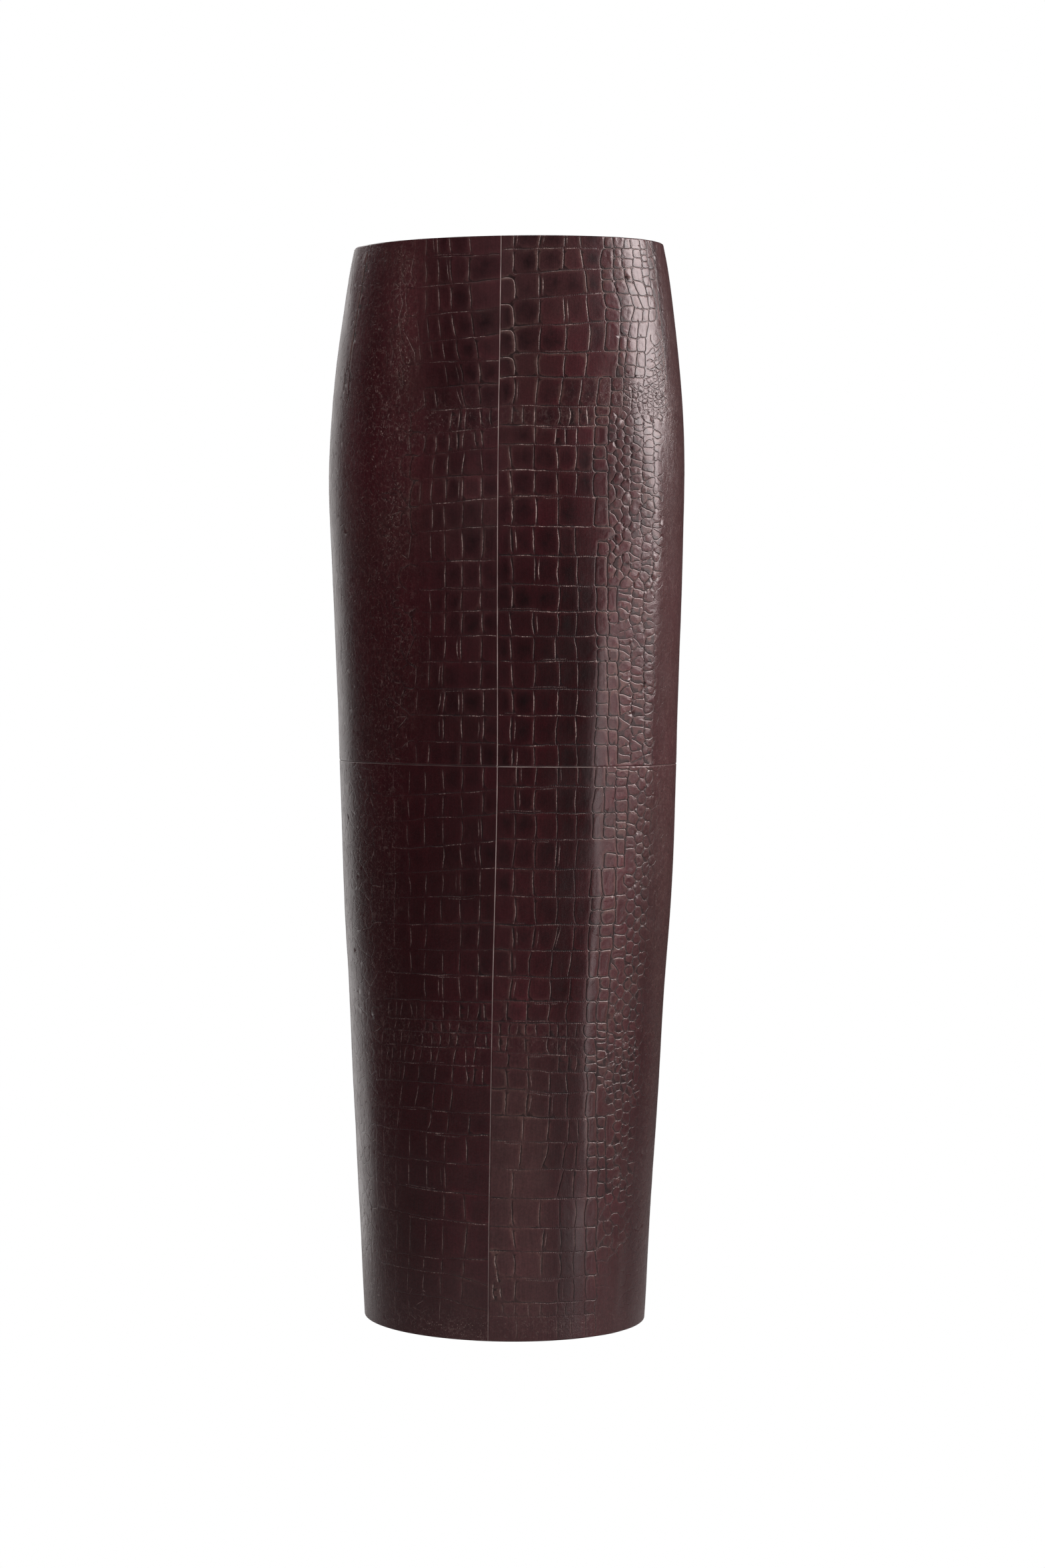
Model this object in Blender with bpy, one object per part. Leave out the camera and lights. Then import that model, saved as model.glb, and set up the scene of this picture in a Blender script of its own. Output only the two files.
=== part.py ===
"""Full-length pencil skirt in crocodile-embossed leather.

Eight leather panels: two in front and two behind above a cross seam a little
above the knee, and the same four below it. They are joined down the centre
front, the centre back and both sides. A concealed zip opens the centre back
at the waist, and a slit opens it at the hem. The skirt stands in the round,
as it does when worn, open at the waist and at the hem.

Metres, +Z up, the front towards -Y. The origin is the middle of the waist.
"""
import math

import bmesh
import bpy
from mathutils import Matrix, Vector
from mathutils.geometry import tessellate_polygon

# ------------------------------------------------------------ sizes, metres
LENGTH = 0.969            # waist edge to hem
CROSS_SEAM = 0.4635       # waist edge to the seam across
WALL = 0.0012             # thickness of the leather
SEAM = 0.0003             # gap between sewn pieces
ROW = 0.026               # spacing of the rings that make up a panel
COLUMNS = 11              # strips across a panel

SLIT_LENGTH = 0.250       # centre-back slit, up from the hem
SLIT_SPREAD = 0.010       # how far it stands open at the hem

ZIP_TOP = 0.003           # top of the zip tape below the waist edge
ZIP_BOTTOM = 0.205        # bottom of the zip tape
TAPE_IN = 0.0012          # tape's inner edge from the centre back
TAPE_OUT = 0.0125         # tape's outer edge from the centre back
TAPE = 0.0006             # tape thickness
FIRST_STRIP = 0.015       # width of the panel strip that the tape lies on
CHAIN_HALF = 0.0016       # half the width of the closed chain
CHAIN = 0.0016            # its thickness
SLIDER_DOWN = 0.0125      # middle of the slider below the waist edge
SLIDER_GAP = 0.0010       # half the gap that the slider's neck passes through
SLIDER_GAP_END = 0.019    # the seam closes again from here ...
SEAM_CLOSED = 0.032       # ... to here

TAB_LENGTH = 0.026        # pull tab below its pivot
TAB_THICK = 0.0008
PIVOT_OUT = 0.00215       # pivot above the leather
TAB_LEAN = 3.0            # degrees that the tab leans in, to rest on the leather

# Rings of the skirt, millimetres and degrees.
#   down        below the waist edge
#   half        half the width
#   front, back depth ahead of and behind the line through the side seams
#   lean        sideways place of the ring's middle
#   swing       turn of the front seam about the skirt
#   rise        height of the right side above the ring's middle
RING_COLUMNS = ("down", "half", "front", "back", "lean", "swing", "rise")
RINGS = (
    (0,   139.5, 100.0, 100.0,  0.5,  0.6,  1.8),
    (20,  143.5, 102.0, 104.0,  0.5,  0.6,  1.5),
    (50,  148.0, 104.5, 110.5,  0.4,  0.5,  0.9),
    (100, 154.5, 108.0, 121.0,  0.0,  0.5,  0.3),
    (150, 159.0, 110.5, 128.5, -0.5,  0.4,  0.0),
    (200, 161.0, 112.5, 131.0, -1.0,  0.4, -0.2),
    (260, 160.0, 114.5, 129.0, -1.2,  0.4, -0.5),
    (330, 157.5, 116.5, 124.0, -0.9,  0.3, -0.9),
    (465, 153.0, 119.5, 119.0,  0.0,  0.0, -1.5),
    (550, 150.0, 121.0, 118.0,  0.0, -0.5, -1.5),
    (650, 145.0, 122.0, 118.5, -1.2, -1.0, -1.6),
    (750, 139.8, 123.5, 119.5, -2.0, -1.4, -1.7),
    (850, 134.4, 124.5, 121.0, -2.7, -1.8, -1.8),
    (969, 127.6, 126.0, 124.0, -3.0, -2.2, -1.8),
)


# ------------------------------------------------------------ the form
def ring(column, down):
    """A column of RINGS at any distance below the waist, smooth between rows."""
    c = RING_COLUMNS.index(column)
    t = [r[0] / 1000.0 for r in RINGS]
    v = [r[c] for r in RINGS]
    d = min(max(down, t[0]), t[-1])
    k = max(i for i in range(len(t) - 1) if t[i] <= d)

    def slope(i):
        a, b = max(i - 1, 0), min(i + 1, len(t) - 1)
        return (v[b] - v[a]) / (t[b] - t[a])

    h = t[k + 1] - t[k]
    s = (d - t[k]) / h
    return ((2 * s**3 - 3 * s**2 + 1) * v[k] + (s**3 - 2 * s**2 + s) * h * slope(k)
            + (-2 * s**3 + 3 * s**2) * v[k + 1] + (s**3 - s**2) * h * slope(k + 1))


def outside(down, turn):
    """Point of the outer surface; turn is 0 in front, 90 at the right side."""
    a = math.radians(turn)
    depth = ring("front" if math.cos(a) > 0 else "back", down)
    return Vector((ring("lean", down) + ring("half", down) * math.sin(a),
                   -depth * math.cos(a),
                   -down * 1000.0 + ring("rise", down) * math.sin(a))) / 1000.0


def outward(down, turn):
    """Unit normal of the outer surface."""
    d0, d1 = max(down - 0.004, 0.0), min(down + 0.004, LENGTH)
    along = outside(d1, turn) - outside(d0, turn)
    around = outside(down, turn + 0.5) - outside(down, turn - 0.5)
    return along.cross(around).normalized()


def skin(down, turn, out=0.0):
    """Outer surface moved out by `out`, or in where it is negative."""
    return outside(down, turn) + outward(down, turn) * out


def degrees_for(width, down, turn):
    """Turn that covers a width of cloth here."""
    step = (outside(down, turn + 0.5) - outside(down, turn - 0.5)).length
    return width / step


# ------------------------------------------------------------ the seams
def seam_turn(name, down):
    return {"front": ring("swing", down),
            "right": 90.0 + 0.5 * ring("swing", down),
            "left": -90.0 + 0.5 * ring("swing", down),
            "back_right": 180.0,
            "back_left": -180.0}[name]


def half_gap(name, down):
    """Half the gap between the two panels at a seam."""
    if not name.startswith("back"):
        return SEAM / 2
    if down < SEAM_CLOSED:
        s = min(max((down - SLIDER_GAP_END) / (SEAM_CLOSED - SLIDER_GAP_END), 0.0), 1.0)
        return SLIDER_GAP + (SEAM / 2 - SLIDER_GAP) * s
    s = max((down - (LENGTH - SLIT_LENGTH)) / SLIT_LENGTH, 0.0)
    return SEAM / 2 + (SLIT_SPREAD - SEAM) / 2 * s**1.5


def stations(top, bottom, marks=()):
    """Even rings from top to bottom, with some set distances among them."""
    count = max(2, round((bottom - top) / ROW))
    rows = [top + (bottom - top) * i / count for i in range(count + 1)]
    for m in marks:
        if top < m < bottom:
            rows = [r for r in rows if abs(r - m) > 0.008 or r in (top, bottom)]
            rows.append(m)
    return sorted(rows)


def strips(left, right, down):
    """Turns of a panel's upright lines, the narrow strip by the zip first."""
    a, b = seam_turn(left, down), seam_turn(right, down)
    a += degrees_for(half_gap(left, down), down, a)
    b -= degrees_for(half_gap(right, down), down, b)
    if left == "back_left":
        c = seam_turn(left, down) + degrees_for(FIRST_STRIP, down, a)
        return [a] + [c + (b - c) * j / (COLUMNS - 1) for j in range(COLUMNS)]
    if right == "back_right":
        c = seam_turn(right, down) - degrees_for(FIRST_STRIP, down, b)
        return [a + (c - a) * j / (COLUMNS - 1) for j in range(COLUMNS)] + [b]
    return [a + (b - a) * j / COLUMNS for j in range(COLUMNS + 1)]


# ------------------------------------------------------------ mesh helpers
def material(name, colour, roughness, metallic=0.0):
    m = bpy.data.materials.new(name)
    m.use_nodes = True
    p = m.node_tree.nodes["Principled BSDF"]
    p.inputs["Base Color"].default_value = (*colour, 1.0)
    p.inputs["Roughness"].default_value = roughness
    p.inputs["Metallic"].default_value = metallic
    return m


def add_object(name, verts, faces, mat, place=None):
    mesh = bpy.data.meshes.new(name)
    bm = bmesh.new()
    points = [bm.verts.new(v) for v in verts]
    for f in faces:
        bm.faces.new([points[i] for i in f])
    bmesh.ops.recalc_face_normals(bm, faces=bm.faces)
    bmesh.ops.triangulate(bm, faces=[f for f in bm.faces if len(f.verts) > 3])
    bm.to_mesh(mesh)
    bm.free()
    mesh.shade_smooth()
    mesh.set_sharp_from_angle(angle=math.radians(35))
    mesh.materials.append(mat)
    obj = bpy.data.objects.new(name, mesh)
    bpy.context.collection.objects.link(obj)
    if place is not None:
        obj.matrix_world = place
    return obj


def wall(name, outer, inner, mat):
    """A closed wall from two grids of points, rows of equal length."""
    rows, cols = len(outer), len(outer[0])
    verts = [p for row in outer for p in row] + [p for row in inner for p in row]
    inside = rows * cols

    def at(i, j, side=0):
        return side * inside + i * cols + j

    faces = []
    for i in range(rows - 1):
        for j in range(cols - 1):
            a, b, c, d = at(i, j), at(i, j + 1), at(i + 1, j + 1), at(i + 1, j)
            faces += [(a, c, b), (a, d, c)]
            faces += [(a + inside, b + inside, c + inside),
                      (a + inside, c + inside, d + inside)]
    for i in range(rows - 1):
        for j in (0, cols - 1):
            faces.append((at(i, j), at(i + 1, j), at(i + 1, j, 1), at(i, j, 1)))
    for j in range(cols - 1):
        for i in (0, rows - 1):
            faces.append((at(i, j), at(i, j + 1), at(i, j + 1, 1), at(i, j, 1)))
    return add_object(name, verts, faces, mat)


def plate(name, outlines, low, high, mat, place):
    """Flat outline, with holes after the first loop, made solid from low to high."""
    loops = [[Vector((x, y, 0.0)) for x, y in o] for o in outlines]
    flat = [p for o in loops for p in o]
    n = len(flat)
    verts = [Vector((p.x, p.y, low)) for p in flat] + [Vector((p.x, p.y, high)) for p in flat]
    faces = []
    for tri in tessellate_polygon(loops):
        faces.append(tuple(tri))
        faces.append(tuple(i + n for i in reversed(tri)))
    start = 0
    for o in loops:
        for k in range(len(o)):
            a, b = start + k, start + (k + 1) % len(o)
            faces.append((a, b, b + n, a + n))
        start += len(o)
    return add_object(name, verts, faces, mat, place)


def box(name, low, high, mat, place):
    (x0, y0, z0), (x1, y1, z1) = low, high
    return plate(name, [[(x0, y0), (x1, y0), (x1, y1), (x0, y1)]], z0, z1, mat, place)


# ------------------------------------------------------------ the pieces
def panel(name, left, right, top, bottom, marks, mat):
    """One leather panel between two seams, going round from left to right."""
    outer, inner = [], []
    for down in stations(top, bottom, marks):
        turns = strips(left, right, down)
        outer.append([skin(down, t) for t in turns])
        inner.append([skin(down, t, -WALL) for t in turns])
    return wall(name, outer, inner, mat)


def tape(name, left, right, mat):
    """Zip tape inside a back panel, made from that panel's inner points."""
    top = []
    rows = stations(0.0, CROSS_SEAM - SEAM / 2, ZIP_MARKS)
    for down in [r for r in rows if ZIP_TOP - 1e-9 <= r <= ZIP_BOTTOM + 1e-9]:
        turns = strips(left, right, down)
        edge, next_edge = (turns[0], turns[1]) if left == "back_left" else (turns[-1], turns[-2])
        a, b = skin(down, edge, -WALL), skin(down, next_edge, -WALL)
        centre = skin(down, 180.0, -WALL)
        width = abs(b.x - centre.x)
        gap = abs(a.x - centre.x)
        n = outward(down, edge)
        pts = []
        for reach in (TAPE_IN, TAPE_OUT):
            s = (reach - gap) / (width - gap)
            pts.append(a + (b - a) * s - n * SEAM)
        top.append((pts, n))
    outer = [p for p, n in top]
    inner = [[q - n * TAPE for q in p] for p, n in top]
    return wall(name, outer, inner, mat)


def chain(name, mat):
    """The closed teeth, one bar inside the tapes from the slider to the end."""
    outer, inner = [], []
    rows = [r for r in stations(0.0, CROSS_SEAM - SEAM / 2, ZIP_MARKS)
            if SLIDER_DOWN + 0.0053 <= r <= ZIP_BOTTOM - 0.004]
    rows = [SLIDER_DOWN + 0.0056] + [r for r in rows if r > SLIDER_DOWN + 0.009] + [ZIP_BOTTOM - 0.004]
    depth = WALL + 2 * SEAM + TAPE
    for down in rows:
        middle = skin(down, 180.0, -depth)
        n = outward(down, 180.0)
        side = Vector((CHAIN_HALF, 0, 0))
        outer.append([middle - side, middle + side])
        inner.append([middle - side - n * CHAIN, middle + side - n * CHAIN])
    return wall(name, outer, inner, mat)


def zip_place():
    """Frame at the slider: X across, Y down the seam, Z out of the leather."""
    n = outward(SLIDER_DOWN, 180.0)
    n.x = 0.0
    n.normalize()
    across = Vector((1.0, 0.0, 0.0))
    down = n.cross(across)
    m = Matrix((across, down, n)).transposed().to_4x4()
    m.translation = outside(SLIDER_DOWN, 180.0)
    return m


def slider(mat):
    """Slider: plate and bail outside, neck in the seam, body behind the tapes."""
    place = zip_place()
    inside_top = -(WALL + 2 * SEAM + TAPE)
    body = box("zip_slider", (-0.0028, -0.0050, inside_top - 0.0028),
               (0.0028, 0.0050, inside_top), mat, place)
    outer_plate = [(-0.0017, -0.0045), (0.0017, -0.0045), (0.0024, -0.0036), (0.0024, 0.0030),
                   (0.0015, 0.0045), (-0.0015, 0.0045), (-0.0024, 0.0030), (-0.0024, -0.0036)]
    added = [
        box("slider_neck", (-0.0006, -0.0030, inside_top - 0.0005),
            (0.0006, 0.0030, 0.0008), mat, place),
        plate("slider_plate", [outer_plate], 0.0003, 0.0012, mat, place),
    ]
    # The bail: an arch along the seam, drawn from the side and then turned.
    arch = [(-0.0021, 0.0009), (-0.0021, 0.0032), (-0.0015, 0.0038), (0.0015, 0.0038),
            (0.0021, 0.0032), (0.0021, 0.0009), (0.0012, 0.0009), (0.0012, 0.0030),
            (-0.0012, 0.0030), (-0.0012, 0.0009)]
    upright = place @ Matrix(((0, 0, 1, 0), (1, 0, 0, 0), (0, 1, 0, 0), (0, 0, 0, 1)))
    added.append(plate("slider_bail", [arch], -0.0007, 0.0007, mat, upright))
    for helper in added:
        helper.hide_render = True
        helper.display_type = "WIRE"
        union = body.modifiers.new(helper.name, "BOOLEAN")
        union.operation = "UNION"
        union.solver = "EXACT"
        union.object = helper
    return body


def pull_tab(mat):
    """Pull tab with its eye round the bail; its origin is on the pivot."""
    place = zip_place() @ Matrix.Translation((0.0, 0.0, PIVOT_OUT))
    place = place @ Matrix.Rotation(math.radians(-TAB_LEAN), 4, "X")
    length, wide, neck = TAB_LENGTH, 0.0031, 0.0019
    outline = [(-neck, -0.00035), (neck, -0.00035), (neck, 0.0045), (0.0024, 0.0080)]
    outline += [(wide * math.cos(a), length - wide + wide * math.sin(a))
                for a in [math.radians(15 * k) for k in range(13)]]
    outline += [(-0.0024, 0.0080), (-neck, 0.0045)]
    eye = [(-0.0012, 0.00035), (0.0012, 0.00035), (0.0012, 0.0033), (-0.0012, 0.0033)]
    hole = [(0.0013 * math.cos(a), length - 0.0036 + 0.0013 * math.sin(a))
            for a in [math.radians(45 * k) for k in range(8)]]
    return plate("zip_pull_tab", [outline, eye, hole], -TAB_THICK / 2, TAB_THICK / 2, mat, place)


ZIP_MARKS = (ZIP_TOP, SLIDER_GAP_END, SEAM_CLOSED, ZIP_BOTTOM)


def build():
    for obj in list(bpy.data.objects):
        bpy.data.objects.remove(obj, do_unlink=True)

    leather = material("leather", (0.034, 0.010, 0.011), 0.38)
    tape_cloth = material("zip_tape", (0.022, 0.008, 0.009), 0.85)
    metal = material("zip_metal", (0.36, 0.34, 0.33), 0.30, 1.0)

    upper = (0.0, CROSS_SEAM - SEAM / 2, ZIP_MARKS)
    lower = (CROSS_SEAM + SEAM / 2, LENGTH, (LENGTH - SLIT_LENGTH,))
    quarters = (
        ("front_{}_left", "left", "front"),
        ("front_{}_right", "front", "right"),
        ("back_{}_right", "right", "back_right"),
        ("back_{}_left", "back_left", "left"),
    )
    for word, (top, bottom, marks) in (("upper", upper), ("lower", lower)):
        for name, left, right in quarters:
            panel(name.format(word), left, right, top, bottom, marks, leather)

    tape("zip_tape_left", "back_left", "left", tape_cloth)
    tape("zip_tape_right", "right", "back_right", tape_cloth)
    chain("zip_chain", metal)
    slider(metal)
    pull_tab(metal)


build()
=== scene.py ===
"""Looks of the leather skirt.

Each of the eight leather panels is rebuilt as a thin closed shell on the CAD
panel's form, with its crocodile emboss as geometry: rows of belly plates beside
the centre seam, rounded cells on the flank, fine wrinkles towards the side.
A panel is laid out flat first, x being the distance round the skirt from its
centre seam and y the distance below the waist, both in millimetres. Grooves are
drawn on that flat piece as lines of samples, the mesh is triangulated round
them, and each point then goes to its place on the skirt.
"""

import math

import bmesh
import bpy
import numpy as np
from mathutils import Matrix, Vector
from mathutils.geometry import delaunay_2d_cdt


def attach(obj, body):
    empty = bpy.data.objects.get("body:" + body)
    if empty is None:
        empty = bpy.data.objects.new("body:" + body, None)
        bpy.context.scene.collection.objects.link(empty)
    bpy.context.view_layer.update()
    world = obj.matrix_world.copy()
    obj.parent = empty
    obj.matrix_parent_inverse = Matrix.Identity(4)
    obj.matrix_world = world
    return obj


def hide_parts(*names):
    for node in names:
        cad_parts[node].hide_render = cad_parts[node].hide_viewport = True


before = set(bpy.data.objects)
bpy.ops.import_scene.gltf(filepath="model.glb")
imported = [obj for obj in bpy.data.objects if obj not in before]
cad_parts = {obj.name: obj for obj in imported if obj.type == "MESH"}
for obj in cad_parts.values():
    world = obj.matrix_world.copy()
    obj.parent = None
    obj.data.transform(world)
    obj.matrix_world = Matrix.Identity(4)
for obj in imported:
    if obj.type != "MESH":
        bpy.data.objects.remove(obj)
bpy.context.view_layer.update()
scene = bpy.context.scene

# ------------------------------------------------------------ the CAD form
LENGTH, CROSS_SEAM, WALL, SEAM = 0.969, 0.4635, 0.0012, 0.0003
SLIT_LENGTH, SLIT_SPREAD = 0.250, 0.010
ZIP_TOP, ZIP_BOTTOM, TAPE_IN, TAPE_OUT, TAPE = 0.003, 0.205, 0.0012, 0.0125, 0.0006
SLIDER_DOWN, SLIDER_GAP, SLIDER_GAP_END, SEAM_CLOSED = 0.0125, 0.0010, 0.019, 0.032
RING_COLUMNS = ("down", "half", "front", "back", "lean", "swing", "rise")
RINGS = np.array((
    (0,   139.5, 100.0, 100.0,  0.5,  0.6,  1.8),
    (20,  143.5, 102.0, 104.0,  0.5,  0.6,  1.5),
    (50,  148.0, 104.5, 110.5,  0.4,  0.5,  0.9),
    (100, 154.5, 108.0, 121.0,  0.0,  0.5,  0.3),
    (150, 159.0, 110.5, 128.5, -0.5,  0.4,  0.0),
    (200, 161.0, 112.5, 131.0, -1.0,  0.4, -0.2),
    (260, 160.0, 114.5, 129.0, -1.2,  0.4, -0.5),
    (330, 157.5, 116.5, 124.0, -0.9,  0.3, -0.9),
    (465, 153.0, 119.5, 119.0,  0.0,  0.0, -1.5),
    (550, 150.0, 121.0, 118.0,  0.0, -0.5, -1.5),
    (650, 145.0, 122.0, 118.5, -1.2, -1.0, -1.6),
    (750, 139.8, 123.5, 119.5, -2.0, -1.4, -1.7),
    (850, 134.4, 124.5, 121.0, -2.7, -1.8, -1.8),
    (969, 127.6, 126.0, 124.0, -3.0, -2.2, -1.8),
), dtype=float)
RING_DOWN = RINGS[:, 0] / 1000.0


def ring(column, down):
    """A column of RINGS at distances below the waist, smooth between rows."""
    v, t = RINGS[:, RING_COLUMNS.index(column)], RING_DOWN
    slope = np.empty(len(t))
    slope[1:-1] = (v[2:] - v[:-2]) / (t[2:] - t[:-2])
    slope[0] = (v[1] - v[0]) / (t[1] - t[0])
    slope[-1] = (v[-1] - v[-2]) / (t[-1] - t[-2])
    d = np.clip(down, t[0], t[-1])
    k = np.clip(np.searchsorted(t, d, side="right") - 1, 0, len(t) - 2)
    h = t[k + 1] - t[k]
    s = (d - t[k]) / h
    return ((2 * s**3 - 3 * s**2 + 1) * v[k] + (s**3 - 2 * s**2 + s) * h * slope[k]
            + (-2 * s**3 + 3 * s**2) * v[k + 1] + (s**3 - s**2) * h * slope[k + 1])


def outside(down, turn):
    """Points of the outer surface, metres; turn is 0 in front, 90 at the right side."""
    down, turn = np.broadcast_arrays(np.asarray(down, float), np.asarray(turn, float))
    a = np.radians(turn)
    depth = np.where(np.cos(a) > 0, ring("front", down), ring("back", down))
    return np.stack((ring("lean", down) + ring("half", down) * np.sin(a),
                     -depth * np.cos(a),
                     -down * 1000.0 + ring("rise", down) * np.sin(a)), axis=-1) / 1000.0


def outward(down, turn):
    """Unit normals of the outer surface."""
    down, turn = np.broadcast_arrays(np.asarray(down, float), np.asarray(turn, float))
    d0, d1 = np.maximum(down - 0.004, 0.0), np.minimum(down + 0.004, LENGTH)
    n = np.cross(outside(d1, turn) - outside(d0, turn),
                 outside(down, turn + 0.5) - outside(down, turn - 0.5))
    return n / np.linalg.norm(n, axis=-1, keepdims=True)


def skin(down, turn, out=0.0):
    return outside(down, turn) + outward(down, turn) * np.asarray(out)[..., None]


# ------------------------------------------------------------ small tools
def smooth(t):
    t = np.clip(t, 0.0, 1.0)
    return t * t * (3.0 - 2.0 * t)


class Noise:
    """Smooth noise between -1 and 1 on a seeded lattice."""

    def __init__(self, seed, size):
        self.size = size
        self.lattice = np.random.default_rng(seed).uniform(-1.0, 1.0, (64, 64))

    def __call__(self, x, y):
        u, v = np.asarray(x, float) / self.size + 7.31, np.asarray(y, float) / self.size + 3.17
        i, j = np.floor(u).astype(int), np.floor(v).astype(int)
        s, t = u - i, v - j
        s, t = s**3 * (s * (6 * s - 15) + 10), t**3 * (t * (6 * t - 15) + 10)
        g, i0, j0, i1, j1 = self.lattice, i % 64, j % 64, (i + 1) % 64, (j + 1) % 64
        return ((g[i0, j0] * (1 - s) + g[i1, j0] * s) * (1 - t)
                + (g[i0, j1] * (1 - s) + g[i1, j1] * s) * t)


class Near:
    """Points sorted into square cells, to find the ones near other points."""

    def __init__(self, points, cell):
        self.points, self.cell = points, cell
        ij = np.floor(points / cell).astype(int)
        self.low = ij.min(0) - 1
        ij -= self.low
        self.shape = ij.max(0) + 2
        key = ij[:, 0] * self.shape[1] + ij[:, 1]
        order = np.argsort(key, kind="stable")
        key = key[order]
        count = np.bincount(key, minlength=int(self.shape[0] * self.shape[1]))
        rank = np.arange(len(key)) - (np.cumsum(count) - count)[key]
        self.table = np.full((len(count), max(int(count.max()), 1)), -1)
        self.table[key, rank] = order

    def around(self, q):
        """For each column of neighbours: the rows of q that have one, and its index."""
        ij = np.floor(q / self.cell).astype(int) - self.low
        for di in (-1, 0, 1):
            for dj in (-1, 0, 1):
                i, j = ij[:, 0] + di, ij[:, 1] + dj
                inside = (i >= 0) & (i < self.shape[0]) & (j >= 0) & (j < self.shape[1])
                rows = np.flatnonzero(inside)
                key = i[rows] * self.shape[1] + j[rows]
                for k in range(self.table.shape[1]):
                    found = self.table[key, k]
                    hit = found >= 0
                    if not hit.any():
                        break
                    yield rows[hit], found[hit]

    def nearest(self, q):
        """Distance to the nearest point, and its index, within about a cell."""
        best, which = np.full(len(q), 1e9), np.full(len(q), -1)
        for rows, found in self.around(q):
            d = np.hypot(*(q[rows] - self.points[found]).T)
            closer = d < best[rows]
            best[rows[closer]], which[rows[closer]] = d[closer], found[closer]
        return best, which

    def margin(self, q):
        """How much further the second nearest point is than the nearest."""
        best, second = np.full(len(q), 1e3), np.full(len(q), 1e3)
        for rows, found in self.around(q):
            d = np.hypot(*(q[rows] - self.points[found]).T)
            second[rows] = np.minimum(second[rows], np.maximum(d, best[rows]))
            best[rows] = np.minimum(best[rows], d)
        return second - best


def spaced(points, kept, clear, own):
    """Mask of points at least `clear` from the kept ones and `own` from earlier ones."""
    ok = np.ones(len(points), bool)
    if len(kept):
        ok = Near(kept, clear).nearest(points)[0] >= clear
    index = np.flatnonzero(ok)
    if own > 0 and len(index):
        mine = points[index]
        drop = np.zeros(len(mine), bool)
        for rows, found in Near(mine, own).around(mine):
            near = (found < rows) & (np.hypot(*(mine[rows] - mine[found]).T) < own)
            drop[rows[near]] = True
        ok[index[drop]] = False
    return ok


def triangulate(points):
    """Delaunay triangles of points that are all apart from each other."""
    verts, _, faces, ids, _, _ = delaunay_2d_cdt(
        [Vector(p) for p in points.tolist()], [], [], 0, 1e-6, True)
    first = np.array([i[0] if i else -1 for i in ids])
    tri = first[np.array([tuple(f) for f in faces if len(f) == 3])]
    tri = tri[(tri >= 0).all(1)]
    a, b, c = (points[tri[:, k]] for k in range(3))
    area = (b[:, 0] - a[:, 0]) * (c[:, 1] - a[:, 1]) - (b[:, 1] - a[:, 1]) * (c[:, 0] - a[:, 0])
    tri[area < 0] = tri[area < 0][:, ::-1]
    return tri


# ------------------------------------------------------------ what each panel shows
# Lines between the rows of plates, millimetres below the waist at the centre seam.
ROWS = {
    "front_upper_right": (12.6, 34.9, 58.7, 81.2, 104.2, 124.5, 149, 166.1, 182.8, 205.3, 227.8,
                          253.6, 279.4, 305.3, 327.8, 349.4, 371.5, 395.4, 418.7, 444.4),
    "front_upper_left": (16.3, 38.1, 63.1, 86.4, 109.2, 129.6, 150.6, 167.5, 185.5, 209.4, 229.3,
                         254, 283.5, 308.5, 327.8, 349.4, 372.7, 395.4, 419.3, 443.2),
    "front_lower_right": (480.8, 503.8, 527.1, 552.8, 576.7, 601.7, 623.9, 647, 668.2, 687.1,
                          699.1, 713.7, 727.7, 746.3, 769.4, 791.5, 815.7, 842.2, 867.6, 888.8,
                          911.9, 934, 946.3),
    "front_lower_left": (484, 505, 528.9, 552.2, 576.1, 600.6, 624.5, 646.6, 670.5, 686.9, 697.4,
                         710.2, 726, 743.4, 767.9, 787.4, 813.4, 840.8, 865.8, 897, 920, 942.8),
}
# How far a row's line falls in 100 mm away from the centre seam, by height.
FALL = {
    "front_upper_right": ((12, -2), (35, -7), (58, -9), (81, -6), (104, -3), (125, -1), (150, 0),
                          (463, 1)),
    "front_upper_left": ((16, 1), (38, 7), (63, 8.5), (86, 9), (109, 1), (130, 4), (150, 2),
                         (167, 8), (186, 9), (209, 3), (229, 8), (254, 6), (283, 2), (463, 1)),
    "front_lower_right": ((463, 0), (600, 1), (687, 3), (727, 6), (790, 3.5), (970, 2)),
    "front_lower_left": ((463, 8), (530, 11), (600, 5), (640, 1), (700, 3), (800, 0), (865, -5),
                         (897, 2), (920, -22), (945, -26)),
    "back_upper_right": ((0, -3), (150, 2), (463, 1)),
    "back_upper_left": ((0, 5), (200, -2), (463, 2)),
    "back_lower_right": ((463, 3), (700, 0), (970, 4)),
    "back_lower_left": ((463, -2), (700, 3), (970, 0)),
}
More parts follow.
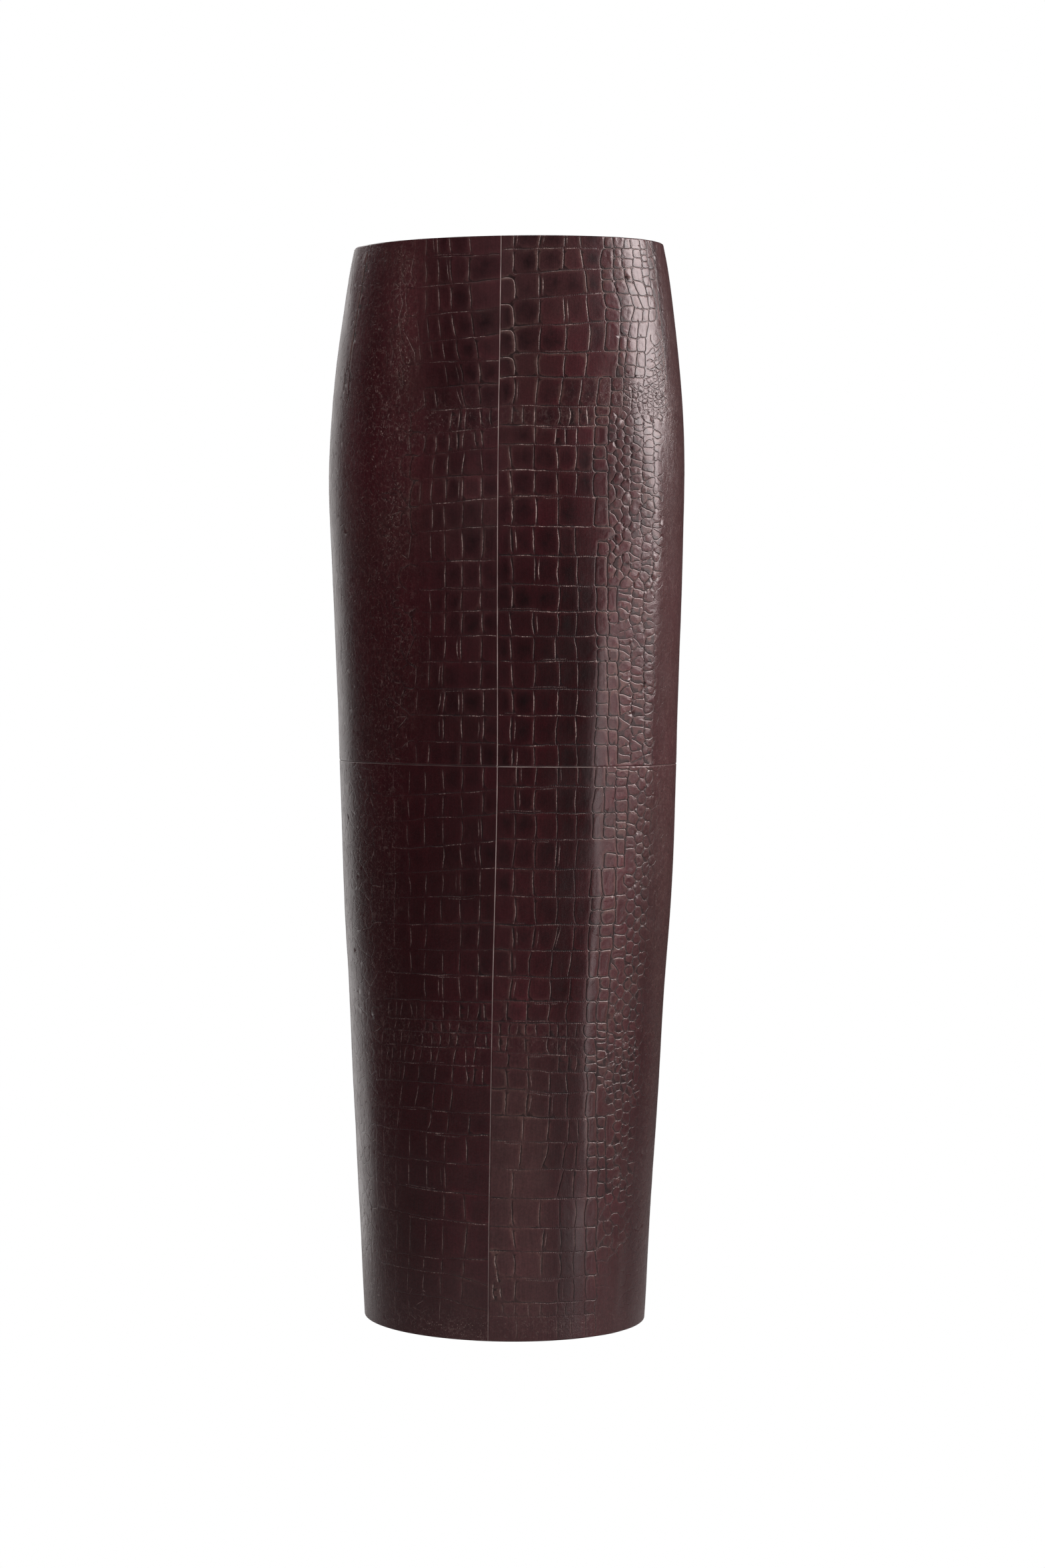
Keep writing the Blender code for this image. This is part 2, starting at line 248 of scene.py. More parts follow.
# Lines between the columns of plates, distances from the centre seam, by height.
# The last one is the edge between the belly plates and the flank.
COLUMNS = {
    "front_upper_right": ((0, 12, 35, 56, 71, 91), (45, 12, 34, 56, 75, 90),
                          (70, 12, 35, 57, 79, 95), (95, 12, 34, 56, 77, 93),
                          (120, 12.5, 34, 55, 74, 90), (165, 11, 31, 52, 69, 85),
                          (300, 12, 32, 53, 70, 87), (463, 12, 32, 53, 70, 87)),
    "front_upper_left": ((0, 29, 47, 59, 71, 81), (60, 27, 43, 56, 68, 78),
                         (100, 20, 37, 51, 61, 71), (150, 16, 29, 43, 55, 66),
                         (200, 14, 31, 46, 58, 70), (463, 15, 33, 50, 64, 76)),
    "front_lower_right": ((463, 16, 33.5, 53, 70, 86), (600, 17, 35, 54, 70, 84),
                          (690, 14, 29, 48, 66, 84), (746, 12.5, 32.7, 52.7, 68, 85),
                          (769.2, 12.5, 32.7, 52.7, 68, 85), (769.8, 27.6, 50, 70, 79.5, 87),
                          (791.3, 27, 50, 69.5, 79.5, 87), (791.9, 27.6, 51.8, 69, 79, 88),
                          (815.4, 25.6, 46, 66, 78, 88), (816, 19.8, 44.5, 66, 77, 88),
                          (842, 18.6, 42, 61.5, 75, 88), (842.5, 18.8, 43, 63, 76, 88),
                          (867.4, 19.6, 44, 63, 76, 88), (868, 20.6, 46.8, 64, 77, 88),
                          (970, 24, 46, 62, 77, 90)),
    "front_lower_left": ((463, 13.6, 32, 49, 66, 83, 99, 114), (690, 13, 30, 46, 62, 78, 94, 108),
                         (790, 20, 40, 58, 76, 93, 108, 121), (970, 26, 45, 63, 80, 96, 110, 122)),
    "back_upper_right": ((0, 18, 38, 56, 71, 84), (230, 15, 34, 53, 70, 86),
                         (463, 17, 35, 52, 69, 85)),
    "back_upper_left": ((0, 15, 33, 52, 69, 83), (230, 18, 38, 57, 73, 87),
                        (463, 14, 32, 51, 68, 84)),
    "back_lower_right": ((463, 18, 36, 55, 72, 88), (720, 13, 30, 47, 65, 81),
                         (970, 20, 40, 59, 76, 92)),
    "back_lower_left": ((463, 14, 33, 51, 68, 85), (720, 18, 35, 52, 68, 83),
                        (970, 22, 43, 61, 78, 92)),
}
# Columns of smaller plates beyond the belly, by height, and in each the cells to a row.
BRICKS = {
    "front_upper_right": (((0, 102, 111.5, 120, 131, 141), (45, 102, 113, 123.5, 134, 144),
                           (70, 109, 123, 135, 145, 154), (95, 107, 118, 129, 137, 147),
                           (120, 103, 114, 124, 137, 147), (165, 98, 108, 118, 129, 140),
                           (463, 100, 110, 121, 133, 145)),
                          (1.6, 1.7, 2.0, 2.0, 2.2), ((0, 5), (81, 4), (126, 2), (150, 1), (300, 2))),
    "front_lower_right": (((463, 98, 110, 121, 135, 145), (600, 96, 110, 119, 133, 143),
                           (700, 94, 106, 116, 127, 138), (800, 98, 108, 118, 128, 138),
                           (970, 100, 110, 120, 130, 140)),
                          (1.2, 1.7, 2.4, 2.5, 2.5), ((463, 3), (560, 2), (700, 1), (760, 2), (850, 1))),
    "back_upper_right": (((0, 98, 110, 121, 132), (463, 99, 112, 124, 135)),
                         (1.4, 1.7, 2.0, 2.2), ((0, 4), (160, 2), (300, 4))),
    "back_upper_left": (((0, 97, 110, 120, 131), (463, 98, 111, 123, 134)),
                        (1.3, 1.8, 2.0, 2.2), ((0, 3), (200, 4))),
    "back_lower_right": (((463, 101, 113, 124, 134), (970, 104, 116, 127, 138)),
                         (1.3, 1.8, 2.1, 2.4), ((463, 4), (720, 2), (800, 4))),
    "back_lower_left": (((463, 98, 110, 121, 132), (970, 104, 115, 126, 136)),
                        (1.3, 1.7, 2.2, 2.4), ((463, 3), (700, 4))),
}
# Cells beyond those: x from, x to, y from, y to, cell width, cell height (or cells
# a row where negative), disorder, depth of the grooves in mm, share of grooves missing.
FLANK_RIGHT = (
    (141, 156, -20, 82, 10.5, -2, 0.26, 0.34, 0.05), (137, 157, 82, 118, 9, 10, 0.34, 0.34, 0.05),
    (156, 170, -20, 118, 9, 12, 0.40, 0.12, 0.50), (170, 216, -20, 126, 7, 16, 0.45, 0.05, 0.70),
    (114, 128, 126, 150, 8.5, 9, 0.34, 0.34, 0.02), (114, 160, 118, 154, 6.2, 4.8, 0.34, 0.27, 0.05),
    (98, 122, 150, 182, 8, 8.5, 0.28, 0.32, 0.04), (122, 158, 154, 182, 13, 6.2, 0.16, 0.32, 0.04),
    (160, 222, 126, 190, 6, 11, 0.48, 0.08, 0.60),
    (98, 120, 182, 300, 8.5, 10.5, 0.26, 0.32, 0.04), (120, 159, 182, 300, 13, 7.0, 0.24, 0.34, 0.03),
    (110, 150, 300, 470, 11.5, 7.4, 0.26, 0.33, 0.03),
    (150, 164, 190, 470, 9, 10, 0.44, 0.10, 0.55), (164, 222, 190, 470, 7, 15, 0.46, 0.05, 0.70),
)
FLANK_LEFT = (
    (81, 101, -20, 150, 9.5, -1, 0.16, 0.16, 0.30), (70, 92, 150, 470, 10, -1, 0.16, 0.24, 0.14),
    (101, 126, -20, 150, 7, 8, 0.44, 0.10, 0.60), (92, 110, 200, 470, 8.5, -1.4, 0.30, 0.20, 0.28),
    (92, 126, 150, 470, 7, 9, 0.44, 0.11, 0.50),
    (126, 158, -20, 470, 7, 9, 0.46, 0.09, 0.65),
    (158, 186, -20, 470, 8, 12, 0.44, 0.10, 0.65), (186, 222, -20, 470, 8, 16, 0.42, 0.15, 0.50),
)
FLANK_LOWER_RIGHT = (
    (106, 150, 460, 700, 8.8, 11.5, 0.22, 0.30, 0.03), (150, 158, 460, 700, 8, 11, 0.36, 0.14, 0.30),
    (98, 150, 700, 760, 8.0, 8.0, 0.36, 0.30, 0.05), (98, 146, 760, 850, 9.5, 10.5, 0.26, 0.28, 0.06),
    (98, 146, 850, 900, 10, 12, 0.30, 0.22, 0.15), (98, 150, 900, 980, 10, 12, 0.40, 0.12, 0.45),
    (156, 222, 460, 700, 7.5, 11, 0.44, 0.11, 0.50), (150, 222, 700, 980, 7.5, 11, 0.44, 0.13, 0.42),
)
FLANK_LOWER_LEFT = (
    (114, 136, 460, 980, 9.5, -1.5, 0.30, 0.15, 0.30), (136, 168, 460, 980, 8.5, 11, 0.40, 0.13, 0.35),
    (168, 222, 460, 980, 7.5, 11, 0.44, 0.14, 0.45),
)
FLANK_BACK = (
    (104, 150, -20, 980, 10, 10, 0.34, 0.32, 0.05), (150, 172, -20, 980, 8.5, 9.5, 0.42, 0.20, 0.30),
    (172, 236, -20, 980, 7.5, 12, 0.46, 0.09, 0.55),
)
FLANK = {
    "front_upper_right": FLANK_RIGHT, "front_upper_left": FLANK_LEFT,
    "front_lower_right": FLANK_LOWER_RIGHT, "front_lower_left": FLANK_LOWER_LEFT,
    "back_upper_right": FLANK_BACK, "back_upper_left": FLANK_BACK,
    "back_lower_right": FLANK_BACK, "back_lower_left": FLANK_BACK,
}
# Depth of belly grooves, upright and level, by height; and how it fades along x.
BELLY = {
    "front_upper_right": (0.50, 0.34, ((0, 1.0), (88, 1.0))),
    "front_upper_left": (0.42, 0.27, ((0, 1.0), (42, 0.9), (60, 0.6), (78, 0.3))),
    "front_lower_right": (0.42, 0.32, ((0, 1.0), (88, 0.9))),
    "front_lower_left": (0.34, 0.26, ((0, 1.2), (16, 1.0), (50, 0.75), (85, 0.55), (120, 0.3))),
    "back_upper_right": (0.46, 0.32, ((0, 1.0), (88, 0.9))),
    "back_upper_left": (0.44, 0.30, ((0, 1.0), (88, 0.9))),
    "back_lower_right": (0.42, 0.30, ((0, 1.0), (88, 0.9))),
    "back_lower_left": (0.42, 0.30, ((0, 1.0), (88, 0.9))),
}
# How pale the belly's grooves are painted on their lit side, by height: a painted glint on the groove wall
# that faces the light, partly pale wear.
GLINT = {
    "front_upper_right": ((0, 0.95), (200, 1.15), (463, 1.05)),
    "front_upper_left": ((0, 0.75), (200, 1.0), (463, 0.95)),
    "front_lower_right": ((463, 0.66), (600, 0.58), (690, 0.52), (969, 0.44)),
    "front_lower_left": ((463, 0.62), (700, 0.68), (969, 0.58)),
}
# Patches painted lighter or darker: panel, x, y, half sizes in mm, share more or less. Among them are painted
# light and shade: a highlight low beside the right centre seam, shade over the lower left panel, a shaded
# band down the right panels at x 62 to 66 and another towards the right side seam, and a shaded hollow above
# the right hem.
PATCHES = (
    ("front_lower_right", 26, 850, 32, 130, 0.58), ("front_lower_right", 30, 690, 34, 60, 0.05),
    ("front_lower_left", 60, 760, 44, 220, -0.24),
    ("front_lower_right", 62, 660, 17, 320, -0.42), ("front_upper_right", 66, 400, 18, 170, -0.40),
    ("front_lower_right", 152, 740, 20, 260, -0.36), ("front_upper_left", 84, 60, 16, 60, 0.34),
    ("front_upper_left", 42, 110, 24, 110, -0.34), ("front_lower_left", 92, 800, 40, 240, -0.28),
    ("front_lower_right", 72, 905, 14, 80, -0.45), ("front_upper_left", 124, 110, 15, 150, -0.34),
    ("front_upper_right", 150, 420, 18, 130, -0.22),
    ("front_upper_right", 118, 190, 22, 60, -0.18), ("front_lower_left", 20, 900, 22, 80, 0.20),
)
# Patches of painted glints, short pale flecks where fine wrinkles would sparkle, with a pale crackle web:
# panel, x, y, half width, half height in mm, strength.
SPARKS = (
    ("front_upper_left", 90, 45, 8, 40, 0.9), ("front_upper_left", 91, 105, 10, 32, 0.9),
    ("front_upper_left", 100, 165, 24, 24, 0.6), ("front_upper_left", 70, 160, 60, 14, 0.35),
    ("front_upper_left", 96, 240, 14, 50, 0.5), ("front_upper_left", 118, 110, 12, 60, 0.35),
    ("front_upper_left", 90, 360, 16, 60, 0.25), ("front_upper_right", 100, 140, 26, 14, 0.5),
    ("front_upper_right", 172, 170, 12, 50, 0.45), ("front_upper_right", 60, 158, 50, 8, 0.25),
    ("front_upper_right", 168, 280, 9, 60, 0.25),
    ("front_lower_left", 60, 700, 60, 14, 0.15), ("front_lower_left", 110, 560, 14, 80, 0.2),
    ("front_lower_left", 40, 958, 60, 10, 0.5), ("front_lower_right", 60, 706, 50, 12, 0.15),
    ("front_lower_right", 60, 956, 60, 10, 0.25), ("back_upper_right", 90, 160, 50, 16, 0.3),
    ("back_upper_left", 80, 190, 50, 16, 0.3), ("back_lower_right", 80, 720, 50, 16, 0.25),
)
# How dark the leather is painted at each height: below 1 is darker.
TONE = {
    "front_upper_left": ((0, 0.98), (230, 0.96), (330, 0.68), (463, 0.60)),
    "front_upper_right": ((0, 1.0), (200, 0.95), (300, 0.62), (463, 0.58)),
    "front_lower_left": ((463, 0.62), (560, 0.60), (700, 0.74), (860, 0.78), (969, 0.85)),
    "front_lower_right": ((463, 0.64), (600, 0.74), (760, 0.88), (900, 0.90), (969, 0.88)),
    "back_upper_left": ((0, 0.95), (463, 0.75)), "back_upper_right": ((0, 0.92), (463, 0.78)),
    "back_lower_left": ((463, 0.74), (969, 0.85)), "back_lower_right": ((463, 0.78), (969, 0.82)),
}
# Painted highlight: a factor on the colour of the right panels beyond the belly plates, by height, lightening
# them where the key light's sheen lies.
SIDE_HIGHLIGHT = {
    "front_upper_right": ((0, 0.98), (200, 1.0), (300, 1.25), (463, 1.35)),
    "front_lower_right": ((463, 1.35), (620, 1.2), (760, 1.0), (969, 0.9)),
}
# Share of the emboss that is left at each height: it fades out above the hem.
KEEP = ((0, 0.75), (14, 1.0), (890, 1.0), (925, 0.75), (950, 0.55), (969, 0.45))
DARTS = {"front_upper_right": (67.5, 67.0, 128.0), "front_upper_left": (-59.0, -62.5, 120.0)}
SEEDS = {"front_upper_right": 11, "front_upper_left": 23, "front_lower_right": 37,
         "front_lower_left": 41, "back_upper_right": 53, "back_upper_left": 67,
         "back_lower_right": 71, "back_lower_left": 83}

# How dark the middles of the plates are, by height.
CORE = ((0, 1.0), (463, 1.0), (560, 0.75), (700, 0.45), (969, 0.2))
# Patches painted a greyer brown: panel, x, y, half sizes in mm, share. On the flanks and low beside the right
# centre seam they are painted sheen, the grey gloss of lit leather.
BROWN = (
    ("front_upper_right", 200, 230, 62, 330, 0.75), ("front_lower_right", 200, 700, 70, 380, 0.8),
    ("front_lower_right", 26, 860, 40, 150, 0.62), ("front_upper_right", 20, 30, 60, 40, 0.4),
    ("front_upper_left", 215, 230, 60, 400, 0.6), ("front_lower_left", 200, 700, 75, 400, 0.7),
    ("front_lower_left", 100, 950, 100, 40, 0.6), ("back_upper_right", 60, 200, 60, 90, 0.4),
    ("back_lower_left", 60, 700, 60, 120, 0.5), ("back_upper_right", 226, 230, 66, 400, 0.72),
    ("back_lower_right", 214, 700, 66, 400, 0.78), ("back_upper_left", 226, 230, 62, 400, 0.6),
    ("back_lower_left", 214, 700, 66, 400, 0.68),
)

# How pale the lines between the flank's cells are painted on their lit side, by height: a painted glint,
# partly pale wear.
PALE = {
    "front_upper_right": ((0, 0.30), (150, 0.25), (200, 0.28), (463, 0.32)),
    "front_lower_right": ((463, 0.28), (970, 0.22)),
}

STEP = 1.45         # spacing of the samples along a groove, mm
ROLL = 0.95         # radius of the rolled edges at the seams, mm

SWELL = (Noise(5, 95.0), Noise(6, 95.0), Noise(7, 42.0), Noise(8, 42.0))


def swell(points):
    """Soft unevenness of the worn leather, mm, the same for both sides of a seam."""
    x, y, z = (points[..., k] * 1000.0 for k in range(3))
    return (0.42 * (SWELL[0](x * 1.2, z) + SWELL[1](y * 1.2 + 300, z))
            + 0.16 * (SWELL[2](x, z * 0.8) + SWELL[3](y + 300, z * 0.8)))


# Soft folds: turn, from and to below the waist, width and height, mm (minus is a hollow).
FOLDS = (
    (52.0, 845, 990, 13.0, 1.3), (60.5, 855, 990, 9.0, -0.9), (44.0, 880, 990, 10.0, -0.6),
    (-47.0, 60, 330, 22.0, 0.9), (-32.0, 120, 300, 20.0, -0.7),
    (58.0, 150, 540, 15.0, 2.3), (58.0, 110, 190, 14.0, -0.8), (-70.0, -120, 90, 13.0, 1.1),
    (47.0, 30, 340, 15.0, 0.8), (32.8, 300, 600, 13.0, 1.3), (34.0, 540, 860, 13.5, 1.9),
    (-50.0, 620, 900, 20.0, 0.7),
    (128.0, 120, 380, 26.0, 1.2), (-135.0, 160, 420, 26.0, 1.1), (150.0, 260, 430, 20.0, -0.9),
    (-158.0, 540, 860, 22.0, -0.8), (140.0, 600, 940, 24.0, 1.0), (-120.0, 700, 960, 20.0, 0.9),
)


def folds(down, turn):
    """Height of the soft folds, mm; down in mm, turn in degrees."""
    h = np.zeros(len(down))
    for at, start, stop, width, height in FOLDS:
        wander = 1.6 * np.sin(down / 47.0 + at)
        across = (turn - at - wander) * 2.35
        along = smooth((down - start) / 70.0) * smooth((stop - down) / 70.0)
        h += height * np.exp(-(across / width) ** 2) * along
    return h


# ------------------------------------------------------------ one panel
class Panel:
    def __init__(self, name):
        self.name = name
        self.front = name.startswith("front")
        self.right = name.endswith("right")
        upper = "upper" in name
        self.upper = upper
        self.top = 0.0 if upper else CROSS_SEAM * 1000 - 0.01
        self.bottom = CROSS_SEAM * 1000 + 0.01 if upper else LENGTH * 1000
        self.way = 1 if self.front == self.right else -1   # does turn grow with x
        self.rng = np.random.default_rng(SEEDS[name])
        self.downs = np.linspace(self.top, self.bottom, 141)
        share = np.linspace(0.0, 1.0, 97)
        a, b = self.edges(self.downs)
        points = outside(self.downs[:, None] / 1000, a[:, None] + (b - a)[:, None] * share)
        arc = np.cumsum(np.linalg.norm(np.diff(points, axis=1), axis=2), axis=1) * 1000
        arc = np.concatenate([np.zeros((len(arc), 1)), arc], axis=1)
        self.widths = arc[:, -1]
        self.share = np.array([np.interp(share, row / row[-1], share) for row in arc])
        self.parts = []

    def edges(self, down):
        """Turns of the centre seam's edge and the side seam's edge, down in mm."""
        d = np.asarray(down, float) / 1000
        swing = ring("swing", d)
        touch = -0.00001   # the sewn edges meet
        if self.front:
            a, gap = swing, np.full_like(d, touch)
        else:
            a = np.full_like(d, 180.0 if self.right else -180.0)
            closing = np.clip((d - SLIDER_GAP_END) / (SEAM_CLOSED - SLIDER_GAP_END), 0, 1)
            slit = np.clip((d - (LENGTH - SLIT_LENGTH)) / SLIT_LENGTH, 0, 1)
            gap = np.where(d < SEAM_CLOSED, SLIDER_GAP + (touch - SLIDER_GAP) * closing,
                           touch + (SLIT_SPREAD - SEAM) / 2 * slit**1.5)
        b = (90.0 if self.right else -90.0) + 0.5 * swing

        def degrees(width, turn):
            step = np.linalg.norm(outside(d, turn + 0.5) - outside(d, turn - 0.5), axis=-1)
            return width / step

        return a + self.way * degrees(gap, a), b - self.way * degrees(touch, b)

    def width(self, y):
        return np.interp(y, self.downs, self.widths)

    def turn(self, x, y):
        row = np.clip((y - self.top) / (self.bottom - self.top), 0, 1) * (len(self.downs) - 1)
        col = np.clip(x / self.width(y), 0, 1) * (self.share.shape[1] - 1)
        i = np.minimum(row.astype(int), len(self.downs) - 2)
        j = np.minimum(col.astype(int), self.share.shape[1] - 2)
        s, t = row - i, col - j
        f = self.share
        share = ((f[i, j] * (1 - t) + f[i, j + 1] * t) * (1 - s)
                 + (f[i + 1, j] * (1 - t) + f[i + 1, j + 1] * t) * s)
        a, b = self.edges(y)
        return a + (b - a) * share

    def across(self, turn, y):
        """Distance from the centre seam of a turn at a height."""
        a, b = self.edges(y)
        i = int(round((y - self.top) / (self.bottom - self.top) * (len(self.downs) - 1)))
        arc = np.interp((turn - a) / (b - a), self.share[i], np.linspace(0, 1, self.share.shape[1]))
        return float(arc * self.width(y))

    # -------------------------------------------------------- grooves
    def curves(self, p, q, bulge, depth, half, bead=0.0, fine=0.0, pale=0.0, ends=0.12, low=0.35,
               step=STEP, taper=0.1, lit=0.0):
        """Grooves from p to q, each bent sideways by its bulge; lit dims upright ones."""
        p, q = np.atleast_2d(np.asarray(p, float)), np.atleast_2d(np.asarray(q, float))
        if not len(p):
            return
        n = len(p)
        bulge, depth, half, bead, fine, pale = (
            np.broadcast_to(np.asarray(v, float), (n,)) for v in (bulge, depth, half, bead, fine, pale))
        length = np.hypot(*(q - p).T)
        side = np.stack((-(q - p)[:, 1], (q - p)[:, 0]), 1) / np.maximum(length, 1e-6)[:, None]
        c = (p + q) / 2 + side * (2 * bulge)[:, None]
        count = np.maximum(2, np.round(length / step).astype(int) + 1)
        i = np.repeat(np.arange(n), count)
        k = np.arange(count.sum()) - np.repeat(np.cumsum(count) - count, count)
        t = (k / (count[i] - 1))[:, None]
        pos = (1 - t) ** 2 * p[i] + 2 * t * (1 - t) * c[i] + t**2 * q[i]
        tan = 2 * (1 - t) * (c[i] - p[i]) + 2 * t * (q[i] - c[i])
        tan /= np.maximum(np.hypot(*tan.T), 1e-9)[:, None]
        t = t[:, 0]
        fade = low + (1 - low) * smooth(t / ends) * smooth((1 - t) / ends)
        self.parts.append(np.column_stack((pos, tan, depth[i] * fade, half[i], bead[i], fine[i],
                                           pale[i] * smooth(t / taper) * smooth((1 - t) / taper)
                                           * (1 - lit * tan[:, 1] ** 2))))

    def line(self, points, depth, half, bead=0.0, fine=0.0, pale=0.0, start=0.0, stop=0.0, lit=0.0):
        """A groove along many points; depth and pale may differ from point to point."""
        points = np.asarray(points, float)
        along = np.concatenate([[0], np.cumsum(np.hypot(*np.diff(points, axis=0).T))])
        count = max(2, int(round(along[-1] / STEP)) + 1)
        s = np.linspace(0, along[-1], count)
        pos = np.column_stack([np.interp(s, along, points[:, k]) for k in (0, 1)])
        if count > 4:
            pos[1:-1] = (pos[:-2] + 2 * pos[1:-1] + pos[2:]) / 4
        tan = np.gradient(pos, axis=0)
        tan /= np.maximum(np.hypot(*tan.T), 1e-9)[:, None]
        d = np.interp(s, along, np.broadcast_to(np.asarray(depth, float), (len(points),)))
        if start:
            d = d * smooth(s / start)
        if stop:
            d = d * smooth((along[-1] - s) / stop)
        pale = np.interp(s, along, np.broadcast_to(np.asarray(pale, float), (len(points),)))
        self.parts.append(np.column_stack([pos, tan, d] + [np.full(count, float(v)) for v in
                                                           (half, bead, fine)]
                                          + [pale * (1 - lit * tan[:, 1] ** 2)]))

    # -------------------------------------------------------- belly plates
    def lay_out(self):
        rng = self.rng
        rows = ROWS.get(self.name)
        if rows is None:
            y, found = self.top + rng.uniform(10, 18), []
            middle = 700 if self.top > 100 else 170
            while y < self.bottom - 8:
                found.append(y)
                y += rng.uniform(21.5, 25.5) * (0.66 if abs(y - middle) < 34 else 1.0)
            rows = found
        rows = np.asarray(rows, float)
        self.rows = np.concatenate([[rows[0] - 23], rows, [rows[-1] + 23]])
        knots = np.asarray(COLUMNS[self.name], float)
        self.column_knots = knots
        self.fall_knots = np.asarray(FALL[self.name], float)
        seed = SEEDS[self.name]
        self.sway = Noise(seed + 100, 34.0), Noise(seed + 101, 9.0), Noise(seed + 102, 60.0)
        self.n_columns = knots.shape[1] - 1

    def column(self, j, y):
        """Distance of column line j from the centre seam; 0 is the seam itself."""
        if j <= 0:
            return np.zeros_like(np.asarray(y, float))
        k = self.column_knots
        x = np.interp(y, k[:, 0], k[:, j])
        return x + 1.0 * self.sway[2](np.asarray(y) * 1.0, j * 37.0)

    def row_shift(self, x, y):
        """How far a row's line at height y has moved down at x."""
        fall = np.interp(y, self.fall_knots[:, 0], self.fall_knots[:, 1])
        bent = np.sign(fall) * np.minimum(np.abs(fall) * x / 100, 9.0)
        return (bent + 0.9 * self.sway[0](x, y) * smooth(x / 10)
                + 0.28 * self.sway[1](x, y * 1.0))

    def row_line(self, i, x):
        return self.rows[i] + self.row_shift(x, self.rows[i])

    def belly(self):
        rng, name = self.rng, self.name
        upright, level, fading = BELLY[name]
        fading = np.asarray(fading, float)

        def faded(x):
            return np.interp(x, fading[:, 0], fading[:, 1])

        last = self.n_columns
        rounded = range(2, 6) if name == "front_upper_right" else ()
        for i in range(1, len(self.rows) - 1):
            y0 = self.rows[i]
            stop = float(self.column(last, y0)) + (0.5 if name in BRICKS else rng.uniform(-1, 6))
            begin = -1.0
            if i in rounded:
                begin = float(self.column(1, y0)) + 0.5
            x = np.arange(begin, stop, 2.0)
            y = self.row_line(i, x)
            gap = 0.62 + 0.38 * Noise(SEEDS[name] + i, 11.0)(x, 0 * x) + 0.2 * rng.uniform(-1, 1)
            depth = level * faded(x) * np.clip(gap, 0.25, 1.15)
            lit = 1.3 * Noise(SEEDS[name] + 40 + i, 13.0)(x, 0 * x) + rng.uniform(-0.25, 0.45)
            self.line(np.column_stack((x, y)), depth, 0.50 if self.upper else 0.60, bead=1.0,
                      pale=np.clip(lit, 0.05, 0.9) * faded(x) * self.glint(y), stop=6.0)
            if rng.random() < 0.25:   # a second, fainter line beside it
                a = rng.uniform(0, stop * 0.5)
                x = np.arange(a, min(a + rng.uniform(15, 40), stop), 2.0)
                if len(x) > 3:
                    self.line(np.column_stack((x, self.row_line(i, x) + rng.choice((-1, 1)) * 1.9)),
                              level * 0.4, 0.45, bead=1.0, pale=0.25, start=4.0, stop=4.0)
        starts, ends, bulges, depths, halves = [], [], [], [], []
        for i in range(len(self.rows) - 1):
            y0, y1 = self.rows[i], self.rows[i + 1]
            short = y1 - y0 < 18.5
            offset = rng.uniform(-0.7, 0.7)
            for j in range(1, last + (0 if name in BRICKS else 1)):
                skip = 0.06 if name in BRICKS or j < last - 1 else 0.25 + 0.3 * (j == last)
                if rng.random() < skip and not (i in rounded and j == 1):
                    continue
                xa = float(self.column(j, y0 + 2)) + offset + rng.normal(0, 0.7)
                xb = float(self.column(j, y1 - 2)) + offset + rng.normal(0, 0.7)
                if i in rounded and j == 1:
                    top = float(self.row_line(i, np.array([xa]))[0]) + 3.2
                    r = 5.0
                    corner = [(xa - r + r * math.sin(k), top + r - r * math.cos(k))
                              for k in np.linspace(0, math.pi / 2, 7)]
                    end = float(self.row_line(i + 1, np.array([xb]))[0])
                    path = ([(-1.0, top + 0.6), (xa - r - 1, top)] + corner
                            + [(xa + (xb - xa) * 0.6 + 0.6, (top + end) / 2 + 3), (xb, end - 0.5)])
                    self.line(path, upright * 0.95, 0.68, pale=0.8, stop=3.0)
                    continue
                ya = float(self.row_line(i, np.array([xa]))[0])
                yb = float(self.row_line(i + 1, np.array([xb]))[0])
                a, b = rng.uniform(0.4, 1.6), rng.uniform(0.4, 1.8)
                strength = rng.uniform(0.62, 1.08) * float(faded(xa))
                starts.append((xa, ya + a))
                ends.append((xb, yb - b))
                bulges.append(rng.normal(0, 0.55))
                depths.append(upright * strength)
                halves.append(rng.uniform(0.50, 0.66))
                if j <= 3 and rng.random() < 0.22 and not short:   # a double line
                    away = rng.uniform(2.6, 4.4)
                    starts.append((xa + away, ya + a + 2))
                    ends.append((xb + away, yb - b - 2))
                    bulges.append(rng.normal(0, 0.4))
                    depths.append(upright * strength * 0.35)
                    halves.append(0.5)
            if short:   # short rows have smaller plates
                for j in range(last):
                    xa, xb = float(self.column(j, y0)), float(self.column(j + 1, y0))
                    if xb - xa > 13 and rng.random() < 0.6:
                        x = (xa + xb) / 2 + rng.uniform(-1.5, 1.5)
                        at = np.array([x])
                        starts.append((x, float(self.row_line(i, at)[0]) + 0.8))
                        ends.append((x + rng.normal(0, 1.2), float(self.row_line(i + 1, at)[0]) - 0.8))
                        bulges.append(rng.normal(0, 0.5))
                        depths.append(upright * rng.uniform(0.5, 0.9) * float(faded(x)))
                        halves.append(0.55)
        at = np.array(starts)
        pale = (0.24 + 0.76 * rng.random(len(at))) * faded(at[:, 0]) * self.glint(at[:, 1])
        self.curves(starts, ends, bulges, depths, halves, pale=pale, ends=0.2, low=0.3, taper=0.34)

    def glint(self, y):
        return np.interp(y, *np.asarray(GLINT.get(self.name, ((0, 0.6),)), float).T)

    # -------------------------------------------------------- bricks
    def brick_line(self, j, y):
        """Distance from the centre seam of the j-th line beyond the belly; 0 is its edge."""
        if j == 0 or self.brick_knots is None:
            return self.column(self.n_columns, y)
        k = self.brick_knots
        return np.interp(y, k[:, 0], k[:, j]) + 0.8 * self.sway[2](np.asarray(y) * 1.0, 500 + j * 37.0)

